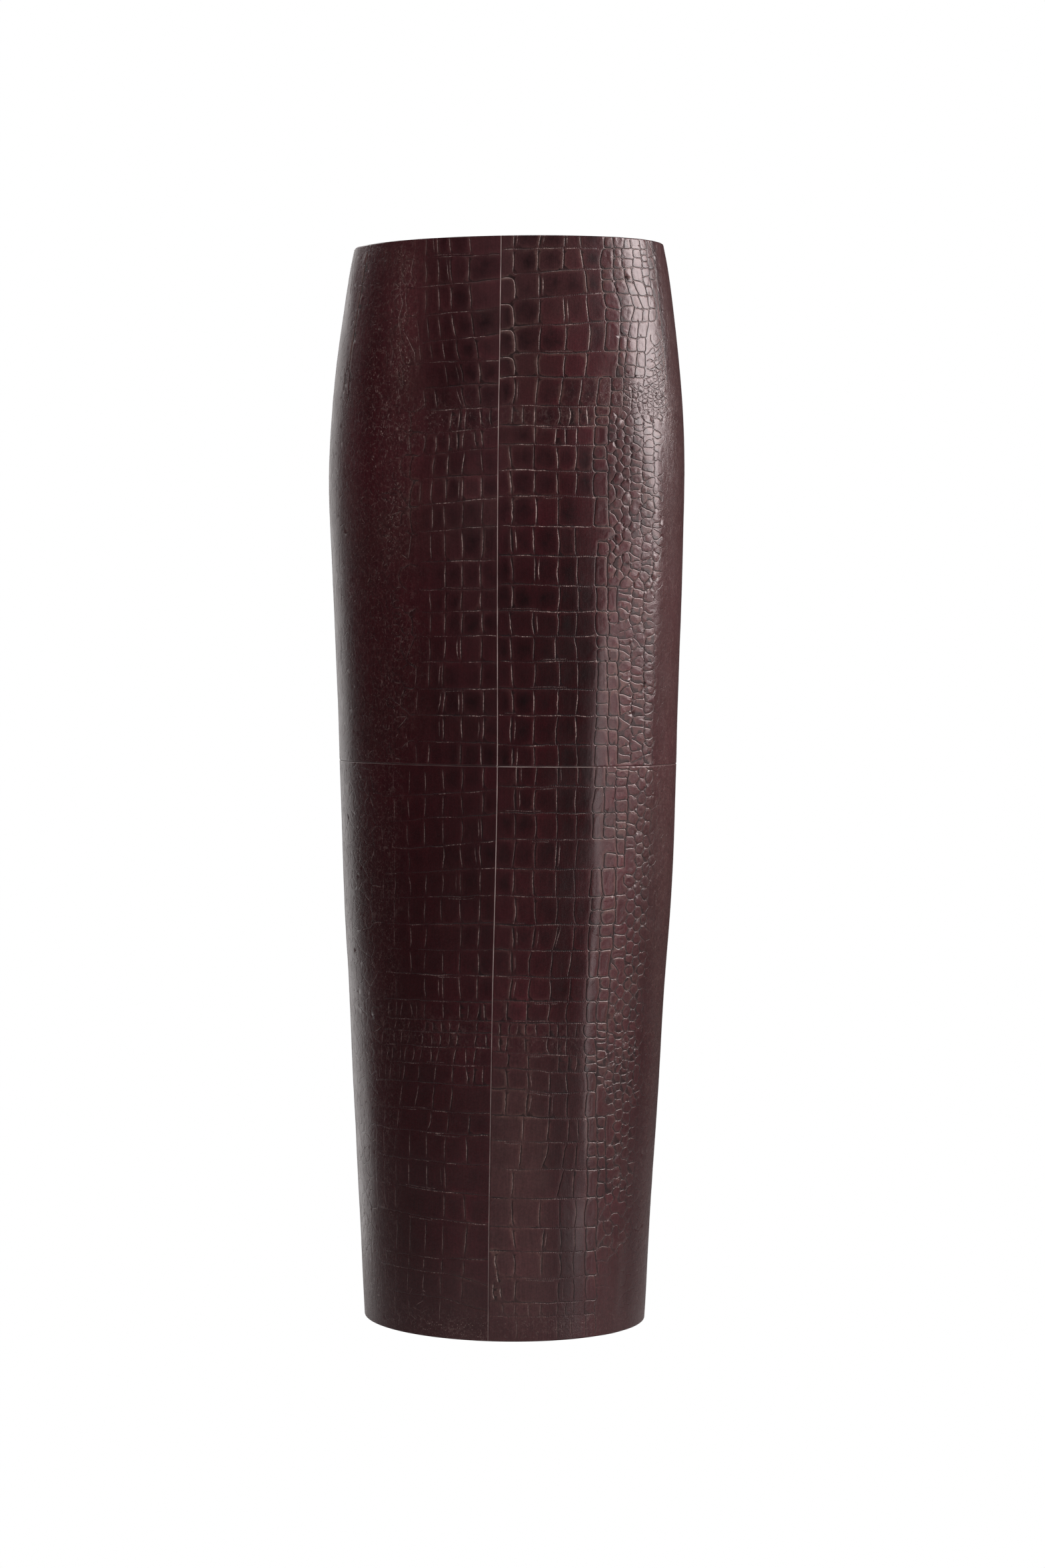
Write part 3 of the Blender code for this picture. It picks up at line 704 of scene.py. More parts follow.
    def brick_reach(self, y):
        """How many brick columns there are at a height."""
        if self.brick_knots is None:
            return np.zeros(np.shape(y), int)
        steps = self.brick_steps
        return steps[np.clip(np.searchsorted(steps[:, 0], y, side="right") - 1, 0, None), 1].astype(int)

    def edge_of_bricks(self, y):
        y = np.atleast_1d(np.asarray(y, float))
        reach = self.brick_reach(y)
        lines = np.stack([self.brick_line(j, y) for j in range(int(reach.max()) + 1)])
        return lines[reach, np.arange(len(y))]

    def bricks(self):
        """Rounded rectangular cells in columns, each with its outline as a groove."""
        rng = self.rng
        self.brick_centres = []
        if self.name not in BRICKS:
            self.brick_knots = None
            return
        knots, counts, steps = BRICKS[self.name]
        self.brick_knots, self.brick_steps = np.asarray(knots, float), np.asarray(steps, float)
        upright, level, _ = BELLY[self.name]
        pale = np.asarray(PALE.get(self.name, ((0, 0.12),)), float)
        for i in range(len(self.rows) - 1):
            y0, y1 = self.rows[i], self.rows[i + 1]
            middle = (y0 + y1) / 2
            reach = int(self.brick_reach(middle))
            offsets = rng.normal(0, 1.0, (reach + 1, 2))
            bulges = rng.normal(0, 0.8, reach + 1)
            for j in range(reach):
                n = max(1, int(math.floor(counts[j] + rng.random() * 0.999)))
                cuts = [0.0] + [(m + rng.uniform(-0.10, 0.10)) / n for m in range(1, n)] + [1.0]

                def side(c, y):
                    t = (y - y0) / (y1 - y0)
                    return (float(self.brick_line(j + c, y)) + offsets[j + c, 0] * (1 - t)
                            + offsets[j + c, 1] * t + bulges[j + c] * 4 * t * (1 - t))

                tilt = rng.uniform(-1.4, 1.4, n + 1)

                def rail(m, x):
                    y = y0 + (y1 - y0) * cuts[m]
                    if 0 < m < n:
                        y += tilt[m] * (x - side(0, y)) / 10.0
                    return y + float(self.row_shift(np.array([x]), np.array([y]))[0])

                for m in range(n):
                    a, b = y0 + (y1 - y0) * cuts[m], y0 + (y1 - y0) * cuts[m + 1]
                    tl, tr, br, bl = ((side(0, a), rail(m, side(0, a))), (side(1, a), rail(m, side(1, a))),
                                      (side(1, b), rail(m + 1, side(1, b))),
                                      (side(0, b), rail(m + 1, side(0, b))))
                    centre = np.mean((tl, tr, br, bl), axis=0)
                    self.brick_centres.append(centre)
                    if rng.random() < 0.05:
                        continue
                    r = rng.uniform(1.6, 4.0)
                    r = min(r, 0.42 * (b - a), 0.42 * (tr[0] - tl[0]))
                    path = []
                    for p, q, c in ((tl, tr, (0, -1)), (tr, br, (1, 0)), (br, bl, (0, 1)), (bl, tl, (-1, 0))):
                        p, q = np.array(p), np.array(q)
                        u = (q - p) / max(np.hypot(*(q - p)), 1e-6)
                        run = np.hypot(*(q - p))
                        for t in np.linspace(r, run - r, max(2, int(run / 2.0))):
                            spot = p + u * t
                            if c[0] == 0:
                                spot[1] = rail(m if c[1] < 0 else m + 1, spot[0])
                            else:
                                level_y = spot[1] - float(self.row_shift(spot[:1], spot[1:])[0])
                                spot[0] = side(1 if c[0] > 0 else 0, np.clip(level_y, y0, y1))
                            path.append(spot)
                        path.append(q * 0.36 + 0.64 * (q - u * r * 0.4))
                    path.append(path[0])
                    strong = rng.uniform(0.75, 1.1) * (level + upright) / 2
                    self.line(path, strong, 0.60, pale=float(np.interp(centre[1], *pale.T)), lit=0.75)

    # -------------------------------------------------------- flank cells
    def flank(self):
        rng = self.rng
        seeds, depths, missing = [], [], []
        for x0, x1, y0, y1, sx, sy, disorder, depth, gone in FLANK[self.name]:
            y0, y1 = max(y0, self.top - 16), min(y1, self.bottom + 16)
            if y1 <= y0:
                continue
            nx = max(1, round((x1 - x0) / sx))
            wx = (x1 - x0) / nx
            for k in range(nx):
                xc = x0 + (k + 0.5) * wx
                if sy < 0:
                    ys = []
                    for i in range(len(self.rows) - 1):
                        a, b = self.rows[i], self.rows[i + 1]
                        if not y0 <= (a + b) / 2 < y1:
                            continue
                        n = max(1, int(math.floor(-sy + rng.random() * 0.999)))
                        shift = float(self.row_shift(np.array([xc]), np.array([(a + b) / 2]))[0])
                        ys += [(a + (b - a) * (m + 0.5) / n + shift, (b - a) / n) for m in range(n)]
                else:
                    n = max(1, round((y1 - y0) / sy))
                    h = (y1 - y0) / n
                    start = y0 + (0.5 + (0.5 if k % 2 else 0.0) - 0.25) * h
                    ys = [(start + m * h, h) for m in range(n)]
                for y, h in ys:
                    j = 0.85 * disorder
                    seeds.append((xc + rng.uniform(-j, j) * wx, y + rng.uniform(-j, j) * h))
                    depths.append(depth * rng.uniform(0.7, 1.15))
                    missing.append(gone)
        seeds, depths, missing = (np.asarray(v, float) for v in (seeds, depths, missing))
        edge = self.edge_of_bricks(seeds[:, 1])
        good = seeds[:, 0] > edge + 2.5
        seeds, depths, missing, edge = seeds[good], depths[good], missing[good], edge[good]
        ok = spaced(seeds, np.zeros((0, 2)), 1.0, 2.6)
        seeds, depths, missing, edge = seeds[ok], depths[ok], missing[ok], edge[ok]
        close = seeds[:, 0] < edge + 17
        mirrored = seeds[close].copy()
        mirrored[:, 0] = 2 * edge[close] - mirrored[:, 0]
        real = len(seeds)
        self.flank_cells = real
        self.cell_seeds = np.concatenate([seeds, np.reshape(self.brick_centres, (-1, 2))])
        points = np.concatenate([seeds, mirrored])
        depths = np.concatenate([depths, depths[close]])
        missing = np.concatenate([missing, missing[close]])
        tri = triangulate(points)
        a, b, c = (points[tri[:, k]] for k in range(3))
        ab, ac = b - a, c - a
        d = 2 * (ab[:, 0] * ac[:, 1] - ab[:, 1] * ac[:, 0])
        d = np.where(np.abs(d) < 1e-6, 1e-6, d)
        b2, c2 = (ab**2).sum(1), (ac**2).sum(1)
        corner = a + np.column_stack((ac[:, 1] * b2 - ab[:, 1] * c2,
                                      ab[:, 0] * c2 - ac[:, 0] * b2)) / d[:, None]
        pair = np.concatenate([tri[:, [0, 1]], tri[:, [1, 2]], tri[:, [2, 0]]])
        pair.sort(1)
        owner = np.tile(np.arange(len(tri)), 3)
        key, which = np.unique(pair[:, 0] * len(points) + pair[:, 1], return_inverse=True)
        ends = np.full((len(key), 2), -1)     # the two corners that each groove joins
        order = np.argsort(which, kind="stable")
        first = np.concatenate([[True], which[order][1:] != which[order][:-1]])
        ends[which[order][first], 0] = owner[order][first]
        ends[which[order][~first], 1] = owner[order][~first]
        i, j = key // len(points), key % len(points)
        p, q = corner[ends[:, 0]], corner[ends[:, 1]]
        length = np.hypot(*(q - p).T)
        depth, gone = (depths[i] + depths[j]) / 2, (missing[i] + missing[j]) / 2
        mid = (p + q) / 2
        edge = self.edge_of_bricks(mid[:, 1])
        pale_at = np.interp(mid[:, 1], *np.asarray(PALE.get(self.name, ((0, 0.12),)), float).T)
        patchy = np.clip(2.4 * Noise(SEEDS[self.name] + 700, 8.0)(mid[:, 0], mid[:, 1]) - 0.25, 0, 1)
        thin = patchy * 0.22 * (1 - smooth((mid[:, 0] - 140) / 16.0)) if not self.right else 0 * patchy
        keep = ((ends[:, 1] >= 0) & (i < real) & (j < real) & (length > 0.3) & (length < 45)
                & (rng.random(len(i)) > gone) & (mid[:, 0] > edge)
                & (mid[:, 0] < self.width(mid[:, 1]) + 3)
                & (mid[:, 1] > self.top - 4) & (mid[:, 1] < self.bottom + 4))
        trim = np.minimum(0.34 * length, np.where(depth < 0.2, 1.2, 2.3))
        along = (q - p) / np.maximum(length, 1e-6)[:, None]
        wide = np.clip(0.45 + depth * 0.7, 0.48, 0.80)
        shallow = depth < 0.2
        bulge = rng.normal(0, 0.05, len(p)) * length
        for mask, fine, step in ((keep & ~shallow, 0.0, STEP), (keep & shallow, 1.0, 1.7)):
            t = trim[mask][:, None] * along[mask]
            self.curves(p[mask] + t, q[mask] - t, bulge[mask], depth[mask], wide[mask], fine=fine,
                        pale=thin[mask] if fine else pale_at[mask], ends=0.2, low=0.85, step=step,
                        lit=0.0 if fine else 0.75)
        # Round the corners: where two grooves meet, a short bend joins them.
        sides = which.reshape(3, -1).T         # the three grooves at each corner
        for u, v in ((0, 1), (1, 2), (2, 0)):
            eu, ev = sides[:, u], sides[:, v]
            both = keep[eu] & keep[ev]
            eu, ev, at = eu[both], ev[both], np.flatnonzero(both)
            arms = []
            for e in (eu, ev):
                sign = np.where(ends[e, 0] == at, 1.0, -1.0)[:, None]
                arms.append(corner[at] + sign * along[e] * trim[e][:, None])
            p0, p1 = arms
            chord = p1 - p0
            size = np.maximum(np.hypot(*chord.T), 1e-6)
            normal = np.column_stack((-chord[:, 1], chord[:, 0])) / size[:, None]
            bend = ((corner[at] - (p0 + p1) / 2) * normal).sum(1) * 0.5
            low = np.minimum(depth[eu], depth[ev])
            for mask, fine in ((low >= 0.2, 0.0), (low < 0.2, 1.0)):
                self.curves(p0[mask], p1[mask], bend[mask], low[mask] * 0.92,
                            np.clip(0.45 + low[mask] * 0.7, 0.48, 0.80), fine=fine,
                            pale=pale_at[eu][mask] * (1 - fine), ends=0.01, low=1.0, step=1.2, lit=0.75)

    # -------------------------------------------------------- wrinkles
    def wrinkles(self, box, count, long, lean, spread, depth, half=0.5, pale=0.0):
        """Short creases in a box: lean is their direction, 90 is upright."""
        rng = self.rng
        x = rng.uniform(box[0], box[1], count)
        y = rng.uniform(box[2], box[3], count)
        a = np.radians(rng.normal(lean, spread, count))
        l = rng.uniform(*long, count)
        d = np.column_stack((np.cos(a), np.sin(a))) * l[:, None] / 2
        c = np.column_stack((x, y))
        self.curves(c - d, c + d, rng.normal(0, 0.07, count) * l,
                    rng.uniform(*depth, count), half, fine=1.0,
                    pale=pale * rng.random(count) ** 1.5 * 1.6, ends=0.45, low=0.1, step=1.6,
                    taper=0.4)

    def hand_drawn(self):
        """Darts, puckers and the creases that belong to one place."""
        if self.name in DARTS:
            t0, t1, end = DARTS[self.name]
            ys = np.linspace(-1.0, end, 40)
            ts = t0 + (t1 - t0) * (np.clip(ys, 0, None) / end)
            xs = [self.across(t, max(y, 0.0)) for t, y in zip(ts, ys)]
            self.line(np.column_stack((xs, ys)), 0.55, 0.62, bead=0.5, pale=0.9 if self.right else 0.1,
                      stop=14.0)
            x, y = xs[-1], end
            if self.right:   # the stitching's end draws the leather into a small rosette
                eye = np.array((x - 11.0, y + 7.0))
                for r, d, a0, a1 in ((3.0, 0.30, -0.7, 0.9), (6.0, 0.34, -0.2, 1.1), (9.5, 0.32, 0.05, 1.0),
                                     (13.5, 0.28, 0.15, 0.85), (18.0, 0.22, 0.2, 0.7)):
                    a = np.linspace(a0 * math.pi, a1 * math.pi, 14)
                    bend = 1.0 + 0.07 * np.sin(a * 3 + r)
                    self.line(np.column_stack((eye[0] + r * np.cos(a) * bend, eye[1] + r * np.sin(a) * bend)),
                              d, 0.52, start=3, stop=3)
                for a, l in ((20, 9), (60, 7), (-60, 8), (-95, 7)):
                    u = np.array((math.cos(math.radians(a)), math.sin(math.radians(a))))
                    p = eye + u * 5
                    self.curves([p], [p + u * l], 0.6, 0.26, 0.5, low=0.2)
                for k in range(7):   # slanting pleats from the dart to the flank
                    p = np.array((x - 3 - 1.5 * (k % 2), 84 + 6.6 * k))
                    q = p + np.array((-(14 + 2.6 * k), 9.5 + 0.8 * k))
                    self.curves([p], [q], -1.4 - 0.3 * (k % 3), 0.30, 0.55, low=0.3)
            else:
                self.line([(x, y - 16), (x - 3.5, y - 4), (x - 3, y + 10), (x - 1, y + 24)],
                          0.36, 0.8, start=8, stop=8)
                self.line([(x, y - 16), (x + 5, y - 2), (x + 7, y + 14)], 0.28, 0.7, start=8, stop=8)
                self.line([(x + 4, -1), (x + 8, 14), (x + 4, 32), (x + 9, 48)], 0.22, 0.8, stop=8)
                self.line([(x + 14, 3), (x + 10, 16), (x + 15, 30)], 0.18, 0.7, start=4, stop=8)
        n = self.name
        if n == "front_upper_left":
            for box, count, pale in (((76, 104, 10, 130), 30, 0.34), ((80, 126, 120, 240), 45, 0.30),
                                     ((82, 120, 230, 460), 50, 0.22), ((112, 150, 10, 460), 50, 0.08),
                                     ((50, 112, 140, 185), 24, 0.20)):
                self.wrinkles(box, count, (2.5, 7.5), 86, 9, (0.05, 0.12), 0.45, pale)
            for path in (((87, 38), (88, 52), (85.5, 72), (90, 81), (84, 90), (78, 101), (77, 112)),
                         ((93, 30), (94, 44), (91, 58), (95, 70), (92, 86), (88, 97)),
                         ((101, 71), (104, 86), (100, 99), (102, 118)), ((96, 112), (93, 124), (90, 136)),
                         ((108, 96), (106, 110), (110, 124)), ((80, 14), (83, 26), (81, 38))):
                lit = np.clip(self.rng.uniform(-0.35, 0.55, len(path)), 0.0, 0.5)
                self.line(path, 0.12, 0.44, fine=1.0, pale=lit, start=5.0, stop=5.0)
            self.wrinkles((170, 206, 8, 460), 80, (10.0, 40.0), 89, 6, (0.07, 0.16), 0.6)
        elif n == "front_upper_right":
            self.wrinkles((164, 212, 4, 460), 260, (8.0, 28.0), 89, 9, (0.03, 0.09), 0.55)
            self.wrinkles((112, 160, 120, 158), 70, (3.0, 7.0), 60, 50, (0.12, 0.24), 0.45)
        elif n == "front_lower_right":
            self.wrinkles((150, 212, 470, 960), 240, (4.0, 14.0), 112, 16, (0.05, 0.14), 0.5)
            # Short puckers beside the seam above the hem, their lit walls carrying strong painted glints.
            for dx, a, b in ((5.5, 893, 904), (7.5, 906, 917), (4.0, 918, 932), (10.5, 921, 930)):
                self.curves([(dx, a)], [(dx + 1.0, b)], 0.7, 0.45, 0.66, pale=0.95, low=0.3)
        elif n == "front_lower_left":
            self.wrinkles((96, 170, 470, 940), 90, (3.0, 9.0), 86, 18, (0.06, 0.14), 0.45, 0.14)
            self.wrinkles((160, 205, 470, 960), 80, (6.0, 24.0), 89, 10, (0.06, 0.15), 0.55)
            self.wrinkles((60, 190, 926, 962), 75, (4.0, 14.0), 125, 40, (0.09, 0.20), 0.5, 0.42)
        else:
            self.wrinkles((150, 222, self.top + 4, self.bottom - 4), 220, (5.0, 15.0), 88, 18,
                          (0.05, 0.15), 0.5)

    # -------------------------------------------------------- heights
    def grooves(self, q):
        """Depth of the emboss at points, distance to the nearest groove, its depth and bead."""
        s = self.samples
        near = Near(s[:, :2], 2.3)
        cut = np.zeros(len(q))
        away = np.full(len(q), 4.0)
        deep, bead, pale = (np.zeros(len(q)) for _ in range(3))
        sided = np.full(len(q), 4.0)
        way = 1.0 if self.right else -1.0
        for rows, found in near.around(q):
            f = s[found]
            rel = q[rows] - f[:, :2]
            along = rel[:, 0] * f[:, 2] + rel[:, 1] * f[:, 3]
            side = rel[:, 0] * f[:, 3] - rel[:, 1] * f[:, 2]
            d = np.hypot(side, np.maximum(np.abs(along) - 0.75, 0.0))
            t = np.minimum(d / f[:, 5], 1.0)
            g = f[:, 4] * (1 - t * t) ** 2
            deeper = g > cut[rows]
            cut[rows[deeper]] = g[deeper]
            score = d + 0.9 * (0.5 - np.minimum(f[:, 4], 0.5))
            closer = score < away[rows]
            r = rows[closer]
            away[r], deep[r], bead[r] = score[closer], f[closer, 4], f[closer, 6]
            pale[r] = f[closer, 8]
            # A groove's side is positive to the right and upwards, as seen from outside.
            turned = np.where(f[:, 3] * way + 0.35 * f[:, 2] >= 0, 1.0, -1.0)
            sided[r] = (side * turned)[closer]
        away = np.where(away < 4.0, away - 0.9 * (0.5 - np.minimum(deep, 0.5)), 4.0)
        pale = np.where(away > 0.52, 0.0, pale)
        return cut, np.maximum(away, 0.0), deep, bead, pale, np.clip(sided, -4.0, 4.0)

    def plates(self, q):
        """A number for the plate or cell under each point, its middle, and the room to the next."""
        x, y = q.T
        level = y - self.row_shift(x, y)
        i = np.clip(np.searchsorted(self.rows, level) - 1, 0, len(self.rows) - 2)
        j = np.zeros(len(q), int)
        lines = [self.column(k, y) for k in range(self.n_columns + 1)]
        for k in range(1, self.n_columns + 1):
            j += x > lines[k]
        middle_y = (self.rows[i] + self.rows[i + 1]) / 2 + (y - level)
        left = np.choose(np.minimum(j, self.n_columns - 1), lines[:-1])
        rightward = np.choose(np.minimum(j, self.n_columns - 1), lines[1:])
        middle = np.column_stack(((left + rightward) / 2, middle_y))
        reach = np.column_stack(((rightward - left) / 2, (self.rows[i + 1] - self.rows[i]) / 2))
        number = i * 16 + j
        out = j >= self.n_columns
        room = np.full(len(q), 9.0)
        if out.any():
            near = Near(self.cell_seeds, 14.0)
            _, which = near.nearest(q[out])
            room[out] = near.margin(q[out])
            which = np.where(which < 0, 0, which)
            number[out] = 1000 + which
            middle[out] = self.cell_seeds[which]
            reach[out] = 0.1
        return number, middle, reach, room

    def relief(self, q, cut, edge, turn, base):
        """Height from the grooves, the folds and the rolled edges alone, mm."""
        x, y = q.T
        h = -cut * (0.5 + 0.3 * smooth(edge / 1.6))
        soft = swell(base) + folds(y, turn)
        if not self.front:   # the leather at the zip stays on the CAD form
            soft = soft * (1 - (1 - smooth((x - 3.0) / 12.0)) * (1 - smooth((y - 205) / 30.0)))
        e = np.clip(edge, 0.0, ROLL)
        return h + soft - (ROLL - np.sqrt(np.maximum(ROLL**2 - (ROLL - e) ** 2, 0.0)))

    def height(self, q, turn, base):
        """Height of the outer face above the CAD form, mm, with the shader's fields."""
        x, y = q.T
        width = self.width(y)
        edge = np.minimum(np.minimum(x, width - x), np.minimum(y - self.top, self.bottom - y))
        cut, away, deep, bead, pale, sided = self.grooves(q)
        keep = np.interp(y, *np.asarray(KEEP).T)
        cut, deep = cut * keep, deep * keep
        number, middle, reach, room = self.plates(q)
        cell = number >= 1000
        brick = number >= 1000 + self.flank_cells
        level = smooth(room / np.where(brick, 5.0, 2.4))      # neighbours meet at one height
        level = np.where(cell, level * smooth(np.abs(x - self.edge_of_bricks(y)) / 3.0), level)
        table = np.random.default_rng(SEEDS[self.name] + 900).normal(0, 1, (6000, 3))
        pick = table[number % 6000]
        inside = smooth((away - 0.4) / 3.0)
        strength = np.where(number >= 1000, 0.8, 1.0) * smooth(deep / 0.25)
        rel = q - middle
        small = np.where(cell, np.where(brick, 1.3, 2.2), 1.0)
        lean = level * small * np.clip(pick[:, 0] * 0.013 * rel[:, 0] + pick[:, 1] * 0.010 * rel[:, 1],
                               -0.22, 0.22)
        pillow = (0.02 * smooth(away / 1.3) + 0.03 * smooth(away / 4.0)) * strength * small
        rough = 0.05 * self.sway[0](x * 2.2, y * 2.2) + 0.014 * self.sway[1](x * 1.4 + 50, y * 1.4)
        # The right flank's scales lie a little over each other, like shingles.
        steep = (np.interp(x, (98, 112), (0, 1)) * 0.042 if self.name.startswith("front") and self.right
                 else 0.018)
        shingle = np.where(cell & ~brick, np.clip(rel[:, 1] * steep, -0.2, 0.2), 0.0)
        shingle = shingle * level * smooth((away - 0.2) / 0.9) * smooth(deep / 0.3)
        h = (pillow + lean * inside * strength * 0.7 + rough + shingle) * smooth(edge / 1.6)
        h += self.relief(q, cut, edge, turn, base)
        off = np.minimum(((rel / reach) ** 2).sum(1), 20.0)
        core = np.exp(-1.15 * off) * np.clip(0.74 + 0.4 * table[(number + 77) % 6000][:, 0], 0.15, 1.0)
        core = core * np.interp(y, *np.asarray(CORE).T)
        fading = np.interp(x, *np.asarray(BELLY[self.name][2], float).T)
        if self.name not in BRICKS:   # the plates grow faint towards the flank
            core = core * fading**1.5
            strength = strength * fading
        dome = np.where(number >= 1000, 1.0, 0.30) * smooth(deep / 0.30)
        return h, away, deep, bead, pale * keep, sided, pick[:, 2] * strength, core, dome

    def sparks(self, q):
        """Where the painted glints, short pale flecks, and the pale web lie thick."""
        x, y = q.T
        amount = 0.16 * smooth((x - (84 if not self.right else 148)) / 20.0)
        for name, at_x, at_y, size_x, size_y, strength in SPARKS:
            if name == self.name:
                amount = np.maximum(amount, strength * np.exp(
                    -((x - at_x) / size_x) ** 2 - ((y - at_y) / size_y) ** 2))
        return amount

    def brown(self, q):
        """Where the leather is painted a greyer brown, on the flanks and low beside the right centre seam a
        painted sheen.
        """
        x, y = q.T
        brown = np.zeros(len(q))
        for name, at_x, at_y, size_x, size_y, share in BROWN:
            if name == self.name:
                brown = np.maximum(brown, share * np.exp(
                    -((x - at_x) / size_x) ** 4 - ((y - at_y) / size_y) ** 4))
        return brown

    def tone(self, q):
        """Factor on the leather's colour: by height, with the painted highlight on the right flank, the
        lighter and darker patches, and painted shade beside the dart.
        """
        x, y = q.T
        tone = np.interp(y, *np.asarray(TONE[self.name], float).T)
        if self.name in SIDE_HIGHLIGHT:
            side = np.interp(y, *np.asarray(SIDE_HIGHLIGHT[self.name], float).T)
            tone = tone + (side - tone) * smooth((x - 86.0) / 14.0)
        # Lighter and darker patches, among them painted highlight and painted shade.
        for name, at_x, at_y, size_x, size_y, share in PATCHES:
            if name == self.name:
                tone = tone * (1 + share * np.exp(-((x - at_x) / size_x) ** 2 - ((y - at_y) / size_y) ** 2))
        if self.name in DARTS and self.right:   # painted shade in a band on the dart's far side, where the leather turns away from the light
            t0, t1, end = DARTS[self.name]
            down = np.clip(y, 0, end)
            line = np.interp(down, (0, end), (self.across(t0, 0.0), self.across(t1, end)))
            dart_shade = smooth((x - line) / 1.5) * smooth((line + 11.0 - x) / 6.0)
            tone = tone * (1 - 0.6 * dart_shade * smooth((end + 10.0 - y) / 40.0))
        return tone

    def normals(self, q, turn, away):
        """Normals at the grooves from their own slopes; zero where the mesh's will do."""
        x, y = q.T
        edge = np.minimum(np.minimum(x, self.width(y) - x), np.minimum(y - self.top, self.bottom - y))
        near = (away < 1.6) & (edge > 1.7)
        p, t, e = q[near], turn[near], 0.05
        keep = np.interp(p[:, 1], *np.asarray(KEEP).T)
        slopes = []
        for step in (np.array((e, 0.0)), np.array((0.0, e))):
            a, b = (self.relief(p + k * step, self.grooves(p + k * step)[0] * keep, edge[near],
                                self.turn(*(p + k * step).T),
                                outside((p + k * step)[:, 1] / 1000, self.turn(*(p + k * step).T)))
                    for k in (1, -1))
            slopes.append((a - b) / (2 * e))
        down = p[:, 1] / 1000
        n = outward(down, t)
        u = (outside(down, t + 0.25) - outside(down, t - 0.25)) * self.way
        v = outside(np.minimum(down + 0.001, LENGTH), t) - outside(np.maximum(down - 0.001, 0.0), t)
        u -= n * (u * n).sum(1)[:, None]
        v -= n * (v * n).sum(1)[:, None]
        u /= np.linalg.norm(u, axis=1)[:, None]
        v /= np.linalg.norm(v, axis=1)[:, None]
        n = n - u * slopes[0][:, None] - v * slopes[1][:, None]
        normals = np.zeros((len(q), 3))
        normals[near] = n / np.linalg.norm(n, axis=1)[:, None]
        return normals

    def worn(self, q):
        """How pale the rolled edge is painted: a painted highlight along the edge of each seam that faces the
        light, partly pale edge wear.
        """
        x, y = q.T
        pale = np.zeros(len(q))
        patchy = 0.8 + 0.35 * self.sway[1](x * 0.7, y * 0.7)
        if not self.right:
            amount = np.interp(y, (0, 463, 600, 740, 969), (0.68, 0.74, 0.64, 0.40, 0.30))
            pale = (1.0 - smooth((x - 0.46) / 0.36)) * (amount if self.front else 0.5)
        if not self.upper:
            along = 1.0 - smooth((x - 84.0) / 10.0) if self.right else np.full(len(q), 0.0)
            amount = 0.10 + 0.34 * along
            pale = np.maximum(pale, (1.0 - smooth((y - self.top - 0.55) / 0.35)) * amount)
        return pale * patchy

    # -------------------------------------------------------- mesh
    def border(self, inset, spacing=1.5):
        """Points of a rectangle inset from the panel's edges, going round it."""
        t0, t1 = self.top + inset, self.bottom - inset
        n = int(round((t1 - t0) / spacing))
        m = int(round(float(self.width((t0 + t1) / 2)) / spacing))
        down = np.linspace(t0, t1, n + 1)
        share = np.linspace(0, 1, m + 1)

        def at(y, s):
            w = self.width(y)
            return np.column_stack((inset + (w - 2 * inset) * s, y))

        return np.concatenate([
            at(np.full(m, t0), share[:-1]), at(down[:-1], np.ones(n)),
            at(np.full(m, t1), share[:0:-1]), at(down[:0:-1], np.zeros(n))])

    def points(self):
        s = self.samples
        edge_rows = [self.border(d, 1.5 if d < 1 else 1.9) for d in (0.0, 0.13, 0.42, 0.9, 1.6)]
        rim = len(edge_rows[0])
        kept = np.concatenate(edge_rows)
        y = s[:, 1]
        room = np.minimum(np.minimum(s[:, 0], self.width(y) - s[:, 0]),
                          np.minimum(y - self.top, self.bottom - y))
        strong = s[:, 4] * np.interp(y, *np.asarray(KEEP).T) > 0.045
        inner = s[(room > 2.1) & strong]
        inner = inner[np.argsort(-inner[:, 4], kind="stable")]
        centres = inner[spaced(inner[:, :2], kept, 0.5, 0.55)]
        kept = np.concatenate([kept, centres[:, :2]])
        side = np.column_stack((-centres[:, 3], centres[:, 2]))
        for reach, clear, own, rows in ((0.58, 0.24, 0.24, centres),
                                        (1.22, 0.26, 0.34, centres)):
            side = np.column_stack((-rows[:, 3], rows[:, 2]))
            off = side * (rows[:, 5] * reach)[:, None]
            more = np.concatenate([rows[:, :2] + off, rows[:, :2] - off])
            inside = self.inside(more, 1.9)
            more = more[inside]
            kept = np.concatenate([kept, more[spaced(more, kept, clear, own)]])
        grid = 4.2
        gx, gy = np.meshgrid(np.arange(2, self.widths.max(), grid),
                             np.arange(self.top + 2, self.bottom - 1, grid))
        more = np.column_stack((gx.ravel(), gy.ravel()))
        more += self.rng.uniform(-0.8, 0.8, more.shape)
        more = more[self.inside(more, 2.4)]
        kept = np.concatenate([kept, more[spaced(more, kept, 1.9, 0)]])
        return kept, rim

    def inside(self, q, margin):
        w = self.width(q[:, 1])
        return ((q[:, 0] > margin) & (q[:, 0] < w - margin)
                & (q[:, 1] > self.top + margin) & (q[:, 1] < self.bottom - margin))

    def connect(self, q, rim):
        """Triangles over points whose first `rim` go round the border."""
        def spread(e):   # the close rows along an edge are drawn apart, so that they stay strips
            return np.interp(e, (0, 0.13, 0.42, 0.9, 1.6), (0, 0.97, 1.78, 2.4, 2.8))

